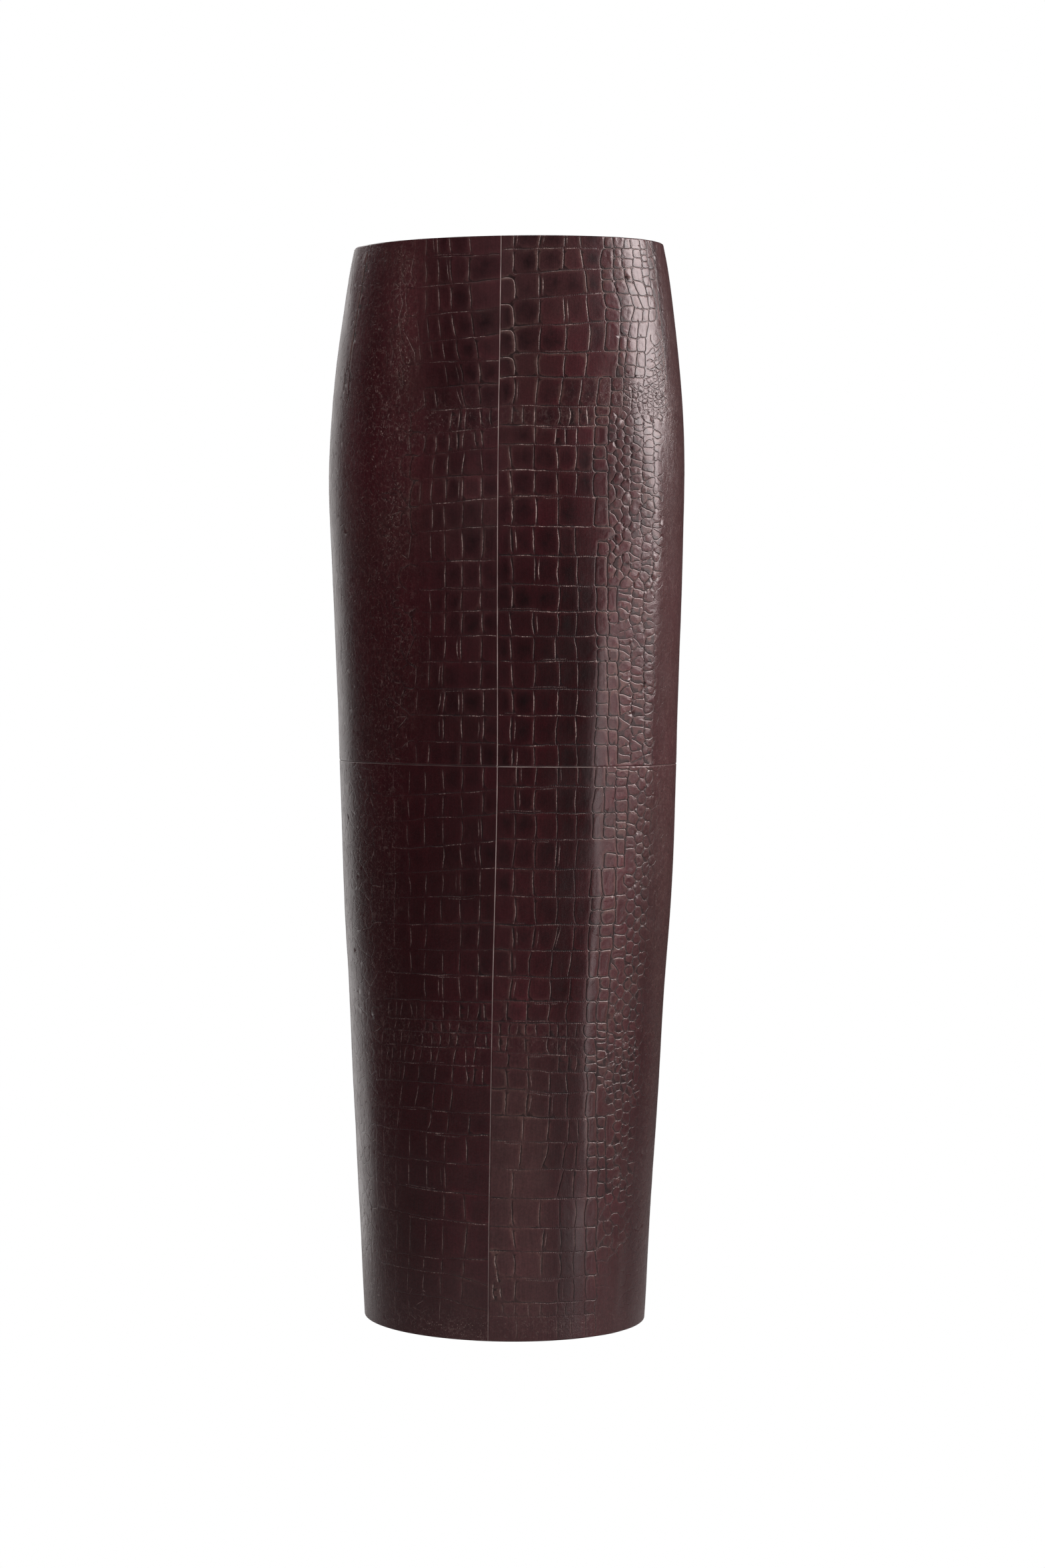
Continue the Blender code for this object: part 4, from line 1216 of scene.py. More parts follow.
        x, y = q.T
        width = self.width(y)
        flat = np.column_stack((x * self.widths.mean() / width + spread(x) - spread(width - x),
                                y + spread(y - self.top) - spread(self.bottom - y)))
        tri = triangulate(flat)
        on = np.zeros((len(q), 4), bool)
        on[:rim, 0] = x[:rim] < 1e-6
        on[:rim, 1] = (width - x)[:rim] < 1e-6
        on[:rim, 2] = (y - self.top)[:rim] < 1e-6
        on[:rim, 3] = (self.bottom - y)[:rim] < 1e-6
        sliver = on[tri].all(1).any(1)
        return tri[~sliver]

    def lining_points(self, rim_points):
        """Border, the steps of the turned-in edges, and a coarse field for the inner face."""
        rows = [rim_points]
        for inset in (0.8, 8.4, 9.6):
            rows.append(self.border(inset, 3.4 if inset > 1 else 1.9))
        kept = np.concatenate(rows)
        gx, gy = np.meshgrid(np.arange(3, self.widths.max(), 7.0),
                             np.arange(self.top + 3, self.bottom - 2, 7.0))
        more = np.column_stack((gx.ravel(), gy.ravel())) + self.rng.uniform(-1.2, 1.2, (gx.size, 2))
        more = more[self.inside(more, 2.5)]
        return np.concatenate([kept, more[spaced(more, kept, 2.4, 0)]])

    def allowance(self, q):
        """Thickness of the turned-in seam allowances on the inner face, mm."""
        x, y = q.T
        d = np.minimum(np.minimum(y - self.top, self.bottom - y), self.width(y) - x)
        at_zip = 0.0 if self.front else 1.0
        free = (1 - at_zip) + at_zip * smooth((y - 222) / 10.0)
        by_seam = np.where(x < 11, free, 1.0)
        d = np.minimum(d, np.where(free > 0.5, x, 99.0))
        return 1.0 * smooth((9.6 - d) / 1.1) * by_seam * smooth(d / 0.8)

    def build(self, materials):
        self.lay_out()
        self.belly()
        self.bricks()
        self.flank()
        self.hand_drawn()
        s = np.concatenate(self.parts)
        w = self.width(s[:, 1])
        s = s[(s[:, 0] > -2) & (s[:, 0] < w + 2) & (s[:, 1] > self.top - 2) & (s[:, 1] < self.bottom + 2)]
        beat = Noise(SEEDS[self.name] + 500, 2.6)
        s[:, 4] *= 1.0 + 0.22 * beat(s[:, 0], s[:, 1])
        drift = Noise(SEEDS[self.name] + 501, 4.5), Noise(SEEDS[self.name] + 502, 4.5)
        s[:, 0] += 0.30 * drift[0](s[:, 0], s[:, 1])
        s[:, 1] += 0.30 * drift[1](s[:, 0], s[:, 1])
        self.samples = s
        q, rim = self.points()
        tri = self.connect(q, rim)
        turn = self.turn(q[:, 0], q[:, 1])
        base = outside(q[:, 1] / 1000, turn)
        h, away, deep, bead, pale, sided, tint, core, dome = self.height(q, turn, base)
        outer = skin(q[:, 1] / 1000, turn, h / 1000)
        normals = self.normals(q, turn, away)

        r = self.lining_points(q[:rim])
        lining = self.connect(r, rim)
        r_turn = self.turn(r[:, 0], r[:, 1])
        r_base = outside(r[:, 1] / 1000, r_turn)
        r_h = -1.2 - self.allowance(r) + swell(r_base) + folds(r[:, 1], r_turn)
        if not self.front:
            by_zip = (1 - smooth((r[:, 0] - 3.0) / 12.0)) * (1 - smooth((r[:, 1] - 205) / 30.0))
            r_h = r_h - by_zip * (swell(r_base) + folds(r[:, 1], r_turn))
        inner = skin(r[:, 1] / 1000, r_turn, r_h / 1000)

        verts = np.concatenate([outer, inner])
        n = len(outer)
        k = np.arange(rim)
        nxt = (k + 1) % rim
        wall = np.concatenate([np.column_stack((k, nxt + n, nxt)), np.column_stack((k, k + n, nxt + n))])
        lining = lining[:, ::-1] + n
        faces = np.concatenate([tri, lining, wall])
        kind = np.concatenate([np.zeros(len(tri), int), np.ones(len(lining), int),
                               np.zeros(len(wall), int)])
        if self.way > 0:
            faces = faces[:, ::-1]
        mesh = bpy.data.meshes.new(self.name + "_leather")
        mesh.vertices.add(len(verts))
        mesh.vertices.foreach_set("co", verts.astype(np.float32).ravel())
        mesh.loops.add(len(faces) * 3)
        mesh.loops.foreach_set("vertex_index", faces.astype(np.int32).ravel())
        mesh.polygons.add(len(faces))
        mesh.polygons.foreach_set("loop_start", np.arange(0, len(faces) * 3, 3, dtype=np.int32))
        mesh.polygons.foreach_set("material_index", kind.astype(np.int32))
        mesh.update(calc_edges=True)
        for m in materials:
            mesh.materials.append(m)

        def field(name, values, inner_value=0.0):
            a = mesh.attributes.new(name, "FLOAT", "POINT")
            a.data.foreach_set("value", np.concatenate(
                [values, np.full(len(inner), inner_value)]).astype(np.float32))

        field("crease", away, 4.0)
        field("deep", deep)
        field("bead", bead)
        field("tint", tint)
        field("pale", pale)
        field("sided", sided, 4.0)
        field("core", core)
        field("dome", dome)
        field("spark", self.sparks(q))
        field("tone", self.tone(q))
        field("brown", self.brown(q))
        field("worn", self.worn(q))
        way = 1.0 if self.right else -1.0
        place = np.concatenate([q, r]) / 1000
        a = mesh.attributes.new("flat", "FLOAT_VECTOR", "POINT")
        a.data.foreach_set("vector", np.column_stack((
            way * place[:, 0], -place[:, 1],
            np.full(len(place), SEEDS[self.name] * 0.37))).astype(np.float32).ravel())

        # Bake map: the outer face with its rim round it, and the inner face beside it.
        def spot(p, u0, u1, grow=0.0):
            w = self.width(p[:, 1])
            u = u0 + (u1 - u0) * (p[:, 0] / w)
            v = 0.985 - 0.97 * (p[:, 1] - self.top) / (self.bottom - self.top)
            return np.column_stack((u, v))

        island = spot(q, 0.012, 0.655)
        second = spot(r, 0.69, 0.99)
        middle = np.array(((0.012 + 0.655) / 2, 0.5))
        out = island[:rim] - middle
        pushed = island[:rim] + np.sign(out) * np.where(
            np.abs(out) > np.array((0.3215, 0.485)) - 1e-4, 0.004, 0.0)
        corners = np.concatenate([island, second, pushed])
        faces_uv = faces.copy()
        flipped = len(tri) + len(lining)
        part = faces_uv[flipped:]
        part[part >= n] += len(r)
        faces_uv[flipped:] = part
        layer = mesh.uv_layers.new(name="OFBake")
        layer.uv.foreach_set("vector", corners[faces_uv.ravel()].astype(np.float32).ravel())

        mesh.shade_smooth()
        mesh.set_sharp_from_angle(angle=math.radians(78))
        # The outer face is shaded with the emboss's own slopes; zero leaves a corner as it is.
        corner_normals = np.zeros((len(faces) * 3, 3))
        corner_normals[:len(tri) * 3] = normals[faces[:len(tri)].ravel()]
        mesh.normals_split_custom_set(corner_normals.tolist())
        obj = bpy.data.objects.new(self.name + "_leather", mesh)
        scene.collection.objects.link(obj)
        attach(obj, "skirt")
        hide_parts(self.name)
        return obj, len(faces)


# ------------------------------------------------------------ materials
class Mat:
    """A material and short ways to add nodes to it."""

    def __init__(self, name):
        self.material = bpy.data.materials.new(name)
        self.material.use_nodes = True
        self.tree = self.material.node_tree
        self.shader = self.tree.nodes["Principled BSDF"]
        self.output = self.tree.nodes["Material Output"]

    def put(self, socket, value):
        if isinstance(value, bpy.types.NodeSocket):
            self.tree.links.new(value, socket)
        else:
            socket.default_value = value

    def node(self, kind, *inputs, **settings):
        n = self.tree.nodes.new(kind)
        named = settings.pop("named", {})
        for k, v in settings.items():
            setattr(n, k, v)
        for i, v in enumerate(inputs):
            if v is not None:
                self.put(n.inputs[i], v)
        for k, v in named.items():
            self.put(n.inputs[k], v)
        return n

    def attribute(self, name):
        return self.node("ShaderNodeAttribute", attribute_name=name)

    def math(self, operation, a, b=0.0, clamp=False):
        return self.node("ShaderNodeMath", a, b, operation=operation, use_clamp=clamp).outputs[0]

    def span(self, value, a, b, c=0.0, d=1.0, kind="LINEAR"):
        n = self.node("ShaderNodeMapRange", named={
            "Value": value, "From Min": a, "From Max": b, "To Min": c, "To Max": d},
            interpolation_type=kind)
        return n.outputs["Result"]

    def noise(self, vector, scale, detail=2.0, rough=0.5, distortion=0.0):
        n = self.node("ShaderNodeTexNoise", named={
            "Vector": vector, "Scale": scale, "Detail": detail, "Roughness": rough,
            "Distortion": distortion})
        return n.outputs["Fac"]

    def voronoi(self, vector, scale, feature="F1", random=1.0):
        n = self.node("ShaderNodeTexVoronoi", feature=feature, named={
            "Vector": vector, "Scale": scale, "Randomness": random})
        return n.outputs["Distance"]

    def stretch(self, vector, scale):
        return self.node("ShaderNodeVectorMath", vector, scale, operation="MULTIPLY").outputs[0]

    def mix(self, fac, a, b, blend="MIX"):
        n = self.node("ShaderNodeMix", data_type="RGBA", blend_type=blend)
        self.put(n.inputs["Factor"], fac)
        self.put(n.inputs[6], a)
        self.put(n.inputs[7], b)
        return n.outputs[2]


def leather_material():
    m = Mat("leather_croc")
    flat = m.attribute("flat").outputs["Vector"]
    crease = m.attribute("crease").outputs["Fac"]
    deep = m.attribute("deep").outputs["Fac"]
    bead = m.attribute("bead").outputs["Fac"]
    tint = m.attribute("tint").outputs["Fac"]

    # Colour: hand-rubbed oxblood, patchy from wine to near black-brown.
    patch = m.span(m.noise(flat, 9.0, 3.0, 0.55), 0.36, 0.66)
    mottle = m.span(m.noise(flat, 75.0, 3.0, 0.6), 0.3, 0.7)
    wine, brown, dark = (0.066, 0.0120, 0.0165, 1), (0.047, 0.0185, 0.0170, 1), (0.025, 0.0052, 0.0078, 1)
    hue = m.math("ADD", m.math("MULTIPLY", patch, 0.55), m.span(tint, -1.5, 1.5, 0.0, 0.55), clamp=True)
    colour = m.mix(hue, brown, wine)
    tinted = m.span(m.math("ADD", m.math("MULTIPLY", tint, 0.22),
                           m.math("MULTIPLY", m.math("SUBTRACT", mottle, 0.5), 0.55)), -0.6, 0.6)
    colour = m.mix(m.math("MULTIPLY", m.math("SUBTRACT", 1.0, tinted), 0.62), colour, dark)
    # Greyer brown patches, on the flanks and low beside the right centre seam a painted sheen.
    browned = m.math("MULTIPLY", m.attribute("brown").outputs["Fac"], m.span(mottle, 0.0, 1.0, 0.7, 1.0))
    colour = m.mix(browned, colour, (0.050, 0.0265, 0.0255, 1))
    core = m.math("MULTIPLY", m.attribute("core").outputs["Fac"],
                  m.span(m.noise(flat, 120.0, 3.0, 0.6), 0.3, 0.65, 0.45, 1.0))
    colour = m.mix(m.math("MULTIPLY", core, 0.95, clamp=True), colour, (0.0085, 0.0020, 0.0030, 1))
    # Painted highlight: a lighter brown band beside the grooves, where the plates' rounded edges would catch
    # the light; and painted shade darkening the grooves.
    edge_sheen_noise = m.span(m.noise(flat, 42.0, 2.0), 0.36, 0.62, 0.15, 1.0)
    edge_sheen = m.math("MULTIPLY", m.math("MULTIPLY", m.span(crease, 0.8, 2.9, 1.0, 0.0, "SMOOTHSTEP"),
                                     m.span(deep, 0.05, 0.4)), edge_sheen_noise)
    colour = m.mix(m.math("MULTIPLY", edge_sheen, 0.74), colour, (0.108, 0.058, 0.050, 1))
    groove = m.math("MULTIPLY", m.span(crease, 0.1, 0.7, 1.0, 0.0, "SMOOTHSTEP"),
                    m.span(deep, 0.04, 0.34))
    colour = m.mix(m.math("MULTIPLY", groove, 0.62), colour, (0.012, 0.0045, 0.005, 1))
    brush = m.noise(m.stretch(flat, (950.0, 60.0, 1.0)), 1.0, 3.0, 0.65)
    speckle = m.noise(flat, 640.0, 2.0, 0.6)
    shade = m.math("MULTIPLY", m.span(brush, 0.32, 0.68, 0.84, 1.16), m.span(speckle, 0.3, 0.7, 0.8, 1.2))
    tone = m.attribute("tone").outputs["Fac"]
    shade = m.math("MULTIPLY", shade, tone)
    deeper = m.math("MINIMUM", tone, 1.0)
    grey = m.node("ShaderNodeCombineColor", shade, m.math("MULTIPLY", shade, m.math("POWER", deeper, 1.0)),
                  m.math("MULTIPLY", shade, m.math("POWER", deeper, 0.7))).outputs[0]
    colour = m.mix(1.0, colour, grey, "MULTIPLY")
    pale = m.attribute("pale").outputs["Fac"]
    speck = m.span(m.noise(flat, 520.0, 2.0, 0.6), 0.36, 0.60, 0.25, 1.0)
    sided = m.attribute("sided").outputs["Fac"]
    # Painted shade on the groove wall turned from the light.
    shadow = m.span(m.math("ABSOLUTE", m.math("SUBTRACT", sided, 0.58)), 0.16, 0.80, 1.0, 0.0)
    shadow = m.math("MULTIPLY", m.math("MULTIPLY", shadow, m.span(crease, 1.0, 1.45, 1.0, 0.0)),
                    m.span(deep, 0.04, 0.30))
    colour = m.mix(m.math("MULTIPLY", shadow, 0.80), colour, (0.0050, 0.0018, 0.0024, 1))
    # Painted glint: the groove wall that faces the light is lightened, partly a painted highlight and partly
    # pale wear along the groove's edge.
    wide = m.math("MULTIPLY", pale, 0.24)
    lit_wall = m.math("ABSOLUTE", m.math("ADD", m.math("ADD", sided, 0.20), m.math("MULTIPLY", wide, 0.5)))
    lit_wall = m.span(m.math("SUBTRACT", lit_wall, wide), 0.12, 0.40, 1.0, 0.0)
    lit_wall = m.math("MULTIPLY", lit_wall, m.span(crease, 0.62, 0.88, 1.0, 0.0))
    dotted = m.span(m.noise(m.stretch(flat, (760.0, 120.0, 1.0)), 1.0, 1.0, 0.5), 0.42, 0.60, 0.12, 1.0)
    lit_wall = m.math("MULTIPLY", lit_wall, m.span(bead, 0.2, 0.8, 1.0, dotted))
    glint_and_wear = m.math("MULTIPLY", m.math("MULTIPLY", lit_wall, pale), speck)
    colour = m.mix(m.math("MULTIPLY", glint_and_wear, 0.95, clamp=True), colour, (0.46, 0.34, 0.31, 1))
    # Painted glints: short pale flecks where the fine wrinkles would sparkle; beside them a pale crackle web.
    zone = m.attribute("spark").outputs["Fac"]
    glint_dashes = m.span(m.noise(m.stretch(flat, (980.0, 480.0, 1.0)), 1.0, 2.0, 0.55), 0.635, 0.685)
    glint_dashes = m.math("MULTIPLY", glint_dashes, m.span(m.noise(flat, 120.0, 2.0), 0.36, 0.56))
    bent = m.node("ShaderNodeVectorMath", m.stretch(flat, (235.0, 150.0, 1.0)),
                  m.node("ShaderNodeVectorMath", m.node("ShaderNodeTexNoise", named={
                      "Vector": flat, "Scale": 300.0, "Detail": 2.0}).outputs["Color"],
                      (1.3, 1.3, 0.0), operation="MULTIPLY").outputs[0], operation="ADD").outputs[0]
    web = m.span(m.voronoi(bent, 1.0, "DISTANCE_TO_EDGE"), 0.0, 0.075, 1.0, 0.0)
    web = m.math("MULTIPLY", web, m.span(m.noise(flat, 210.0, 2.0), 0.42, 0.62, 0.1, 1.0))
    web = m.math("MULTIPLY", web, m.math("MULTIPLY", m.math("POWER", zone, 0.5), 0.19))
    spark = m.math("MAXIMUM", m.math("MULTIPLY", glint_dashes, zone), web)
    colour = m.mix(m.math("MULTIPLY", spark, 0.95, clamp=True), colour, (0.48, 0.36, 0.32, 1))
    # Painted highlight along the rolled seam edges that face the light, partly pale edge wear.
    worn = m.attribute("worn").outputs["Fac"]
    colour = m.mix(m.math("MULTIPLY", worn, 0.95, clamp=True), colour, (0.78, 0.64, 0.60, 1))
    m.put(m.shader.inputs["Base Color"], colour)

    # Gloss: waxed, a little duller in the grooves and in patches.
    streak = m.noise(m.stretch(flat, (260.0, 26.0, 1.0)), 1.0, 3.0, 0.6)
    rough = m.math("ADD", m.span(m.noise(flat, 30.0, 4.0, 0.6), 0.3, 0.7, 0.33, 0.41),
                   m.math("MULTIPLY", groove, 0.10))
    rough = m.math("ADD", rough, m.math("MULTIPLY", m.math("SUBTRACT", streak, 0.5), 0.10))
    m.put(m.shader.inputs["Roughness"], rough)
    m.shader.inputs["IOR"].default_value = 1.5
    m.shader.inputs["Coat Weight"].default_value = 0.15
    m.shader.inputs["Coat Roughness"].default_value = 0.15

    # Relief below the mesh's own: crisp groove bottoms, beads along the rows, grain.
    crisp = m.math("MULTIPLY", m.span(crease, 0.0, 0.55, 1.0, 0.0, "SMOOTHSTEP"),
                   m.span(deep, 0.03, 0.4))
    split = m.node("ShaderNodeSeparateXYZ", flat)
    wave = m.math("SINE", m.math("ADD", m.math("MULTIPLY", split.outputs[0], 3900.0),
                                 m.math("MULTIPLY", m.noise(flat, 180.0, 2.0), 14.0)))
    beads = m.math("MULTIPLY", m.math("MULTIPLY", wave, bead),
                   m.span(crease, 0.0, 1.3, 1.0, 0.0, "SMOOTHSTEP"))
    grain = m.voronoi(flat, 1150.0)
    pebble = m.noise(flat, 420.0, 3.0, 0.6)
    fibre = m.noise(m.stretch(flat, (900.0, 95.0, 1.0)), 1.0, 3.0, 0.6)
    h = m.math("MULTIPLY", crisp, -0.10)
    dome = m.math("MULTIPLY", m.attribute("dome").outputs["Fac"],
                  m.span(crease, 0.25, 3.0, 0.0, 0.26, "SMOOTHSTEP"))
    h = m.math("ADD", h, dome)
    lace = m.span(m.voronoi(bent, 1.0, "DISTANCE_TO_EDGE"), 0.0, 0.17, 1.0, 0.0, "SMOOTHSTEP")
    lace = m.math("MULTIPLY", lace, m.span(m.noise(flat, 130.0, 2.0), 0.38, 0.58, 0.15, 1.0))
    h = m.math("SUBTRACT", h, m.math("MULTIPLY", lace, m.math("MULTIPLY", m.math("POWER", zone, 0.5), 0.13)))
    h = m.math("ADD", h, m.math("MULTIPLY", beads, 0.075))
    h = m.math("ADD", h, m.math("MULTIPLY", grain, 0.018))
    h = m.math("ADD", h, m.math("MULTIPLY", pebble, 0.10))
    h = m.math("ADD", h, m.math("MULTIPLY", m.noise(flat, 150.0, 3.0, 0.55), 0.15))
    h = m.math("ADD", h, m.math("MULTIPLY", fibre, 0.070))
    bump = m.node("ShaderNodeBump", named={"Strength": 1.0, "Distance": 0.001, "Height": h})
    m.put(m.shader.inputs["Normal"], bump.outputs["Normal"])
    return m.material


def suede_material():
    m = Mat("leather_flesh_side")
    flat = m.attribute("flat").outputs["Vector"]
    nap = m.noise(flat, 240.0, 4.0, 0.7)
    cloud = m.span(m.noise(flat, 16.0, 3.0), 0.35, 0.65)
    colour = m.mix(cloud, (0.075, 0.032, 0.028, 1), (0.105, 0.046, 0.038, 1))
    colour = m.mix(m.span(nap, 0.3, 0.7, 0.0, 0.45), colour, (0.045, 0.018, 0.017, 1))
    m.put(m.shader.inputs["Base Color"], colour)
    m.shader.inputs["Roughness"].default_value = 0.92
    m.shader.inputs["IOR"].default_value = 1.4
    m.shader.inputs["Sheen Weight"].default_value = 0.25
    m.shader.inputs["Sheen Roughness"].default_value = 0.5
    h = m.math("ADD", m.math("MULTIPLY", nap, 0.22), m.math("MULTIPLY", m.noise(flat, 900.0, 2.0), 0.08))
    bump = m.node("ShaderNodeBump", named={"Strength": 1.0, "Distance": 0.001, "Height": h})
    m.put(m.shader.inputs["Normal"], bump.outputs["Normal"])
    return m.material


def tape_material():
    m = Mat("zip_tape_weave")
    place = m.node("ShaderNodeTexCoord").outputs["Object"]
    split = m.node("ShaderNodeSeparateXYZ", place)
    warp = m.math("SINE", m.math("MULTIPLY", split.outputs[0], 11000.0))
    weft = m.math("SINE", m.math("MULTIPLY", split.outputs[2], 9000.0))
    weave = m.math("MULTIPLY", warp, weft)
    cloud = m.noise(place, 300.0, 3.0, 0.6)
    colour = m.mix(m.span(weave, -1.0, 1.0), (0.014, 0.005, 0.006, 1), (0.034, 0.013, 0.014, 1))
    colour = m.mix(m.math("MULTIPLY", cloud, 0.3), colour, (0.05, 0.02, 0.02, 1))
    m.put(m.shader.inputs["Base Color"], colour)
    m.shader.inputs["Roughness"].default_value = 0.86
    bump = m.node("ShaderNodeBump", named={"Strength": 1.0, "Distance": 0.001,
                                           "Height": m.math("MULTIPLY", weave, 0.05)})
    m.put(m.shader.inputs["Normal"], bump.outputs["Normal"])
    return m.material


def nylon_material():
    m = Mat("zip_nylon")
    place = m.node("ShaderNodeTexCoord").outputs["Object"]
    cloud = m.span(m.noise(place, 700.0, 3.0, 0.6), 0.35, 0.65)
    m.put(m.shader.inputs["Base Color"], m.mix(cloud, (0.018, 0.0065, 0.0075, 1), (0.032, 0.012, 0.013, 1)))
    m.put(m.shader.inputs["Roughness"], m.span(cloud, 0.0, 1.0, 0.34, 0.48))
    return m.material


def metal_material():
    m = Mat("zip_metal_satin")
    place = m.node("ShaderNodeTexCoord").outputs["Object"]
    brushed = m.noise(m.stretch(place, (6000.0, 6000.0, 700.0)), 1.0, 3.0, 0.6)
    worn = m.noise(place, 420.0, 3.0, 0.6)
    colour = m.mix(m.span(worn, 0.35, 0.7), (0.30, 0.285, 0.275, 1), (0.42, 0.40, 0.385, 1))
    m.put(m.shader.inputs["Base Color"], colour)
    m.shader.inputs["Metallic"].default_value = 1.0
    m.put(m.shader.inputs["Roughness"], m.span(brushed, 0.3, 0.7, 0.22, 0.40))
    bump = m.node("ShaderNodeBump", named={"Strength": 0.5, "Distance": 0.001,
                                           "Height": m.math("MULTIPLY", brushed, 0.02)})
    m.put(m.shader.inputs["Normal"], bump.outputs["Normal"])
    return m.material


# ------------------------------------------------------------ the zip
def by_zip(x, down, depth):
    """Points inside the centre back, metres: x across, distance below the waist, depth in."""
    x, down, depth = np.broadcast_arrays(x, down, depth)
    turn = 180.0 - np.degrees(np.arcsin(x / (ring("half", down) / 1000)))
    return outside(down, turn) - outward(down, turn) * depth[..., None]


def place_mesh(name, mesh, material, body="skirt"):
    mesh.materials.clear()
    mesh.materials.append(material)
    mesh.shade_smooth()
    mesh.set_sharp_from_angle(angle=math.radians(50))
    obj = bpy.data.objects.new(name, mesh)
    scene.collection.objects.link(obj)
    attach(obj, body)
    return obj


def mesh_object(name, verts, faces, material):
    mesh = bpy.data.meshes.new(name)
    mesh.from_pydata(np.asarray(verts).reshape(-1, 3).tolist(), [], faces)
    mesh.validate()
    mesh.update()
    return place_mesh(name, mesh, material)


def softened(node, name, body, radius, material):
    """The CAD part again, with its edges rounded."""
    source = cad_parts[node]
    bm = bmesh.new()
    bm.from_mesh(source.data)
    bm.transform(source.matrix_world)
    bmesh.ops.remove_doubles(bm, verts=bm.verts, dist=2e-6)
    bmesh.ops.dissolve_limit(bm, angle_limit=math.radians(2), verts=bm.verts, edges=bm.edges)
    edges = [e for e in bm.edges if len(e.link_faces) == 2 and e.calc_face_angle() > math.radians(24)]
    bmesh.ops.bevel(bm, geom=edges, offset=radius, offset_type="OFFSET", segments=2, profile=0.5,
                    affect="EDGES", clamp_overlap=True)
    bmesh.ops.triangulate(bm, faces=bm.faces)
    mesh = bpy.data.meshes.new(name)
    bm.to_mesh(mesh)
    bm.free()
    obj = place_mesh(name, mesh, material, body)
    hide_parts(node)
    return obj


def zip_tape(name, way, material):
    """Woven strip inside the back panel, with a slightly thicker selvedge."""
    down = np.linspace(ZIP_TOP, ZIP_BOTTOM, 90)[:, None]
    across = np.array((0.0, 0.0006, 0.0022, 0.0045, 0.0070, 0.0092, 0.0104, 0.0113))
    bulk = np.array((0.70, 1.0, 0.82, 0.80, 0.80, 0.84, 1.0, 0.66)) * TAPE
    ripple = 0.00004 * np.sin(down * 900.0 + across * 500.0)
    x = way * (TAPE_IN + across)
    middle = WALL + SEAM + TAPE / 2 + ripple
    outer, inner = by_zip(x, down, middle - bulk / 2), by_zip(x, down, middle + bulk / 2)
    rows, columns = outer.shape[:2]
    n = rows * columns
    faces = []
    for r in range(rows - 1):
        for c in range(columns - 1):
            a = r * columns + c
            faces.append((a, a + 1, a + columns + 1, a + columns))
            faces.append((n + a, n + a + columns, n + a + columns + 1, n + a + 1))
    loop = ([c for c in range(columns)] + [r * columns + columns - 1 for r in range(1, rows)]
            + [(rows - 1) * columns + c for c in range(columns - 2, -1, -1)]
            + [r * columns for r in range(rows - 2, 0, -1)])
    for a, b in zip(loop, loop[1:] + loop[:1]):
        faces.append((b, a, n + a, n + b))
    if way < 0:
        faces = [f[::-1] for f in faces]
    obj = mesh_object(name + "_cloth", np.concatenate([outer.reshape(-1, 3), inner.reshape(-1, 3)]),
                      faces, material)
    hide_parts(name)
    return obj


def zip_teeth(material):
    """Two rows of rounded teeth, those of one side between those of the other."""
    sides = 8
    around = np.arange(sides) * 2 * math.pi / sides
    stops = ((-0.0016, 0.45), (-0.00145, 0.85), (-0.0011, 1.0), (0.0001, 1.0), (0.00038, 0.8), (0.00050, 0.4))
    verts, faces = [], []
    for way, start in ((1, 0.0186), (-1, 0.0186 + 0.00062)):
        for down in np.arange(start, ZIP_BOTTOM - 0.0045, 0.00124):
            base = len(verts) * sides
            for x, size in stops:
                verts.append(by_zip(way * x * np.ones(sides), down + 0.00036 * size * np.cos(around),
                                    0.00292 + 0.00082 * size * np.sin(around)))
            for r in range(len(stops) - 1):
                for c in range(sides):
                    a, b = base + r * sides + c, base + r * sides + (c + 1) % sides
                    faces.append((a, b, b + sides, a + sides)[::-way])
            faces.append(tuple(base + c for c in range(sides))[::way])
            last = base + (len(stops) - 1) * sides
            faces.append(tuple(last + c for c in range(sides))[::-way])
    obj = mesh_object("zip_teeth", np.concatenate(verts), faces, material)
    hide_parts("zip_chain")
    return obj


# ------------------------------------------------------------ camera, floor and light
def camera():
    data = bpy.data.cameras.new("camera")
    data.lens, data.sensor_width, data.sensor_fit = 79.7, 36.0, "AUTO"
    data.clip_start, data.clip_end = 0.1, 60.0
    cam = bpy.data.objects.new("camera", data)
    a = math.radians(4.3)
    cam.location = (3.15 * math.sin(a), -3.15 * math.cos(a), -0.3472)
    cam.rotation_euler = (math.radians(90 - 2.49), 0.0, math.radians(4.06))
    scene.collection.objects.link(cam)
    scene.camera = cam


def soft_light(name, azimuth, elevation, distance, size, watts, colour=(1, 1, 1), aim=(0, 0, -0.47),
               gloss=True):
    """Rectangular softbox; azimuth 0 is in front, 90 at the right."""
    data = bpy.data.lights.new(name, "AREA")
    data.shape, data.size, data.size_y = "RECTANGLE", size[0], size[1]
    data.energy, data.color = watts, colour
    light = bpy.data.objects.new(name, data)
    a, e = math.radians(azimuth), math.radians(elevation)
    away = Vector((math.sin(a) * math.cos(e), -math.cos(a) * math.cos(e), math.sin(e)))
    light.location = Vector(aim) + away * distance
    light.rotation_mode = "QUATERNION"
    light.rotation_quaternion = away.to_track_quat("Z", "Y")
    light.visible_camera = False
    light.visible_glossy = gloss      # a fill without gloss lifts the colour only
    scene.collection.objects.link(light)
    return light


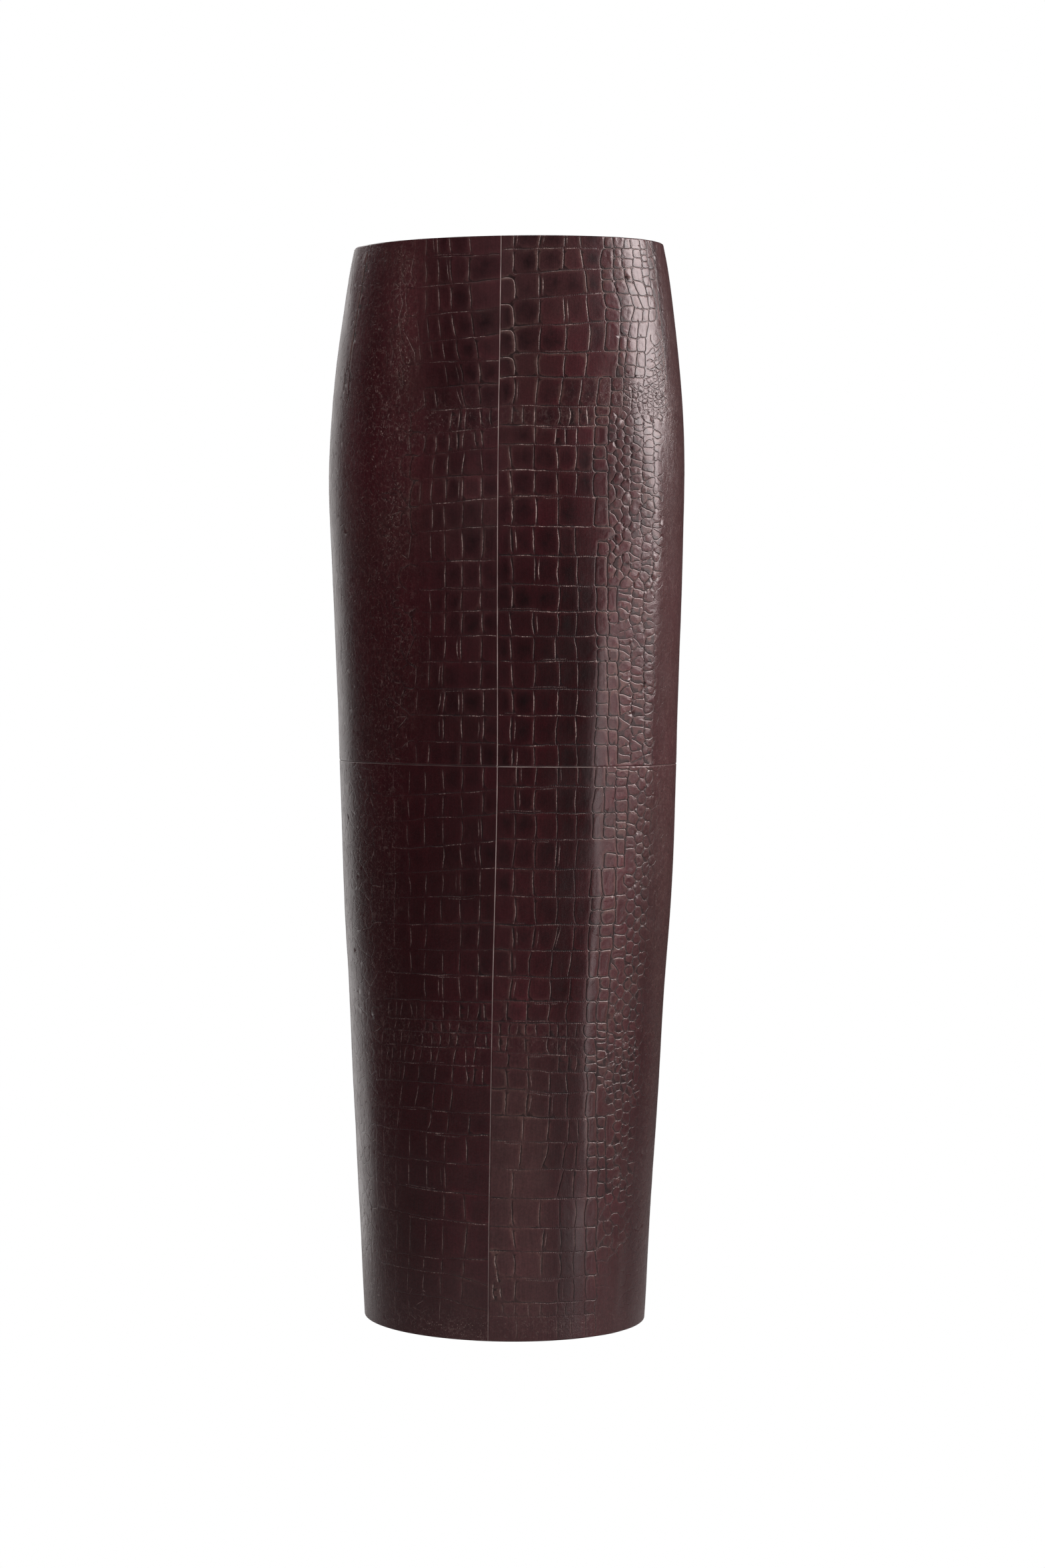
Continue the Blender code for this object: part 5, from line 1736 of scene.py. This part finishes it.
def studio():
    scene.view_settings.view_transform = "Standard"
    world = bpy.data.worlds.new("studio")
    scene.world = world
    world.use_nodes = True
    nodes, links = world.node_tree.nodes, world.node_tree.links
    fill = nodes["Background"]
    fill.inputs["Color"].default_value = (0.92, 0.95, 1.0, 1.0)
    fill.inputs["Strength"].default_value = 0.032
    white = nodes.new("ShaderNodeBackground")
    white.inputs["Color"].default_value = (1, 1, 1, 1)
    white.inputs["Strength"].default_value = 1.0
    ray = nodes.new("ShaderNodeLightPath")
    mix = nodes.new("ShaderNodeMixShader")
    links.new(ray.outputs["Is Camera Ray"], mix.inputs[0])
    links.new(fill.outputs[0], mix.inputs[1])
    links.new(white.outputs[0], mix.inputs[2])
    links.new(mix.outputs[0], nodes["World Output"].inputs["Surface"])

    # Pale floor, well below the hem.
    mesh = bpy.data.meshes.new("floor")
    mesh.from_pydata([(-9, -9, 0), (9, -9, 0), (9, 9, 0), (-9, 9, 0)], [], [(0, 1, 2, 3)])
    floor = bpy.data.objects.new("floor", mesh)
    floor.location = (0, 0, -1.30)
    scene.collection.objects.link(floor)
    mat = bpy.data.materials.new("floor_pale")
    mat.use_nodes = True
    nodes, links = mat.node_tree.nodes, mat.node_tree.links
    nodes.clear()
    out = nodes.new("ShaderNodeOutputMaterial")
    glow = nodes.new("ShaderNodeEmission")
    glow.inputs["Color"].default_value = (1, 1, 1, 1)
    glow.inputs["Strength"].default_value = 1.0
    matte = nodes.new("ShaderNodeBsdfDiffuse")
    matte.inputs["Color"].default_value = (0.40, 0.39, 0.385, 1)
    ray = nodes.new("ShaderNodeLightPath")
    mix = nodes.new("ShaderNodeMixShader")
    links.new(ray.outputs["Is Camera Ray"], mix.inputs[0])
    links.new(matte.outputs[0], mix.inputs[1])
    links.new(glow.outputs[0], mix.inputs[2])
    links.new(mix.outputs[0], out.inputs["Surface"])
    mesh.materials.append(mat)

    soft_light("key_right", 90, 20, 1.9, (0.86, 1.25), 44, (1.0, 0.89, 0.89), (0, 0, -0.25))
    soft_light("strip_right", 60, 0, 2.2, (0.36, 0.95), 5.6, (1.0, 0.90, 0.90), (0, 0, -0.80))
    soft_light("rim_left", -138, 5, 2.0, (1.3, 2.2), 11, (1.0, 0.97, 0.96), (0, 0, -0.42))
    soft_light("rim_top", -130, 35, 2.0, (1.2, 0.8), 11, (1.0, 0.97, 0.96), (0, 0, -0.1))
    soft_light("front_fill", -12, 18, 3.0, (1.8, 1.8), 50, (1.0, 0.96, 0.98), gloss=False)
    soft_light("low_front", 12, -24, 2.4, (1.4, 0.6), 6, (1.0, 0.94, 0.93), (0, 0, -0.9))
    soft_light("top", 30, 80, 1.9, (1.4, 1.0), 7)
    soft_light("back_fill", 186, 16, 2.8, (1.0, 1.8), 23)


# ------------------------------------------------------------ put it together
camera()
studio()
LEATHER, SUEDE = leather_material(), suede_material()
total = 0
for panel_name in SEEDS:
    built, triangles = Panel(panel_name).build((LEATHER, SUEDE))
    total += triangles
    print(panel_name, triangles)
print("leather triangles", total)

WEAVE, NYLON, METAL = tape_material(), nylon_material(), metal_material()
zip_tape("zip_tape_left", -1, WEAVE)
zip_tape("zip_tape_right", 1, WEAVE)
zip_teeth(NYLON)
softened("zip_slider", "slider_rounded", "skirt", 0.00018, METAL)
softened("zip_pull_tab", "pull_tab_rounded", "pull_tab", 0.00016, METAL)
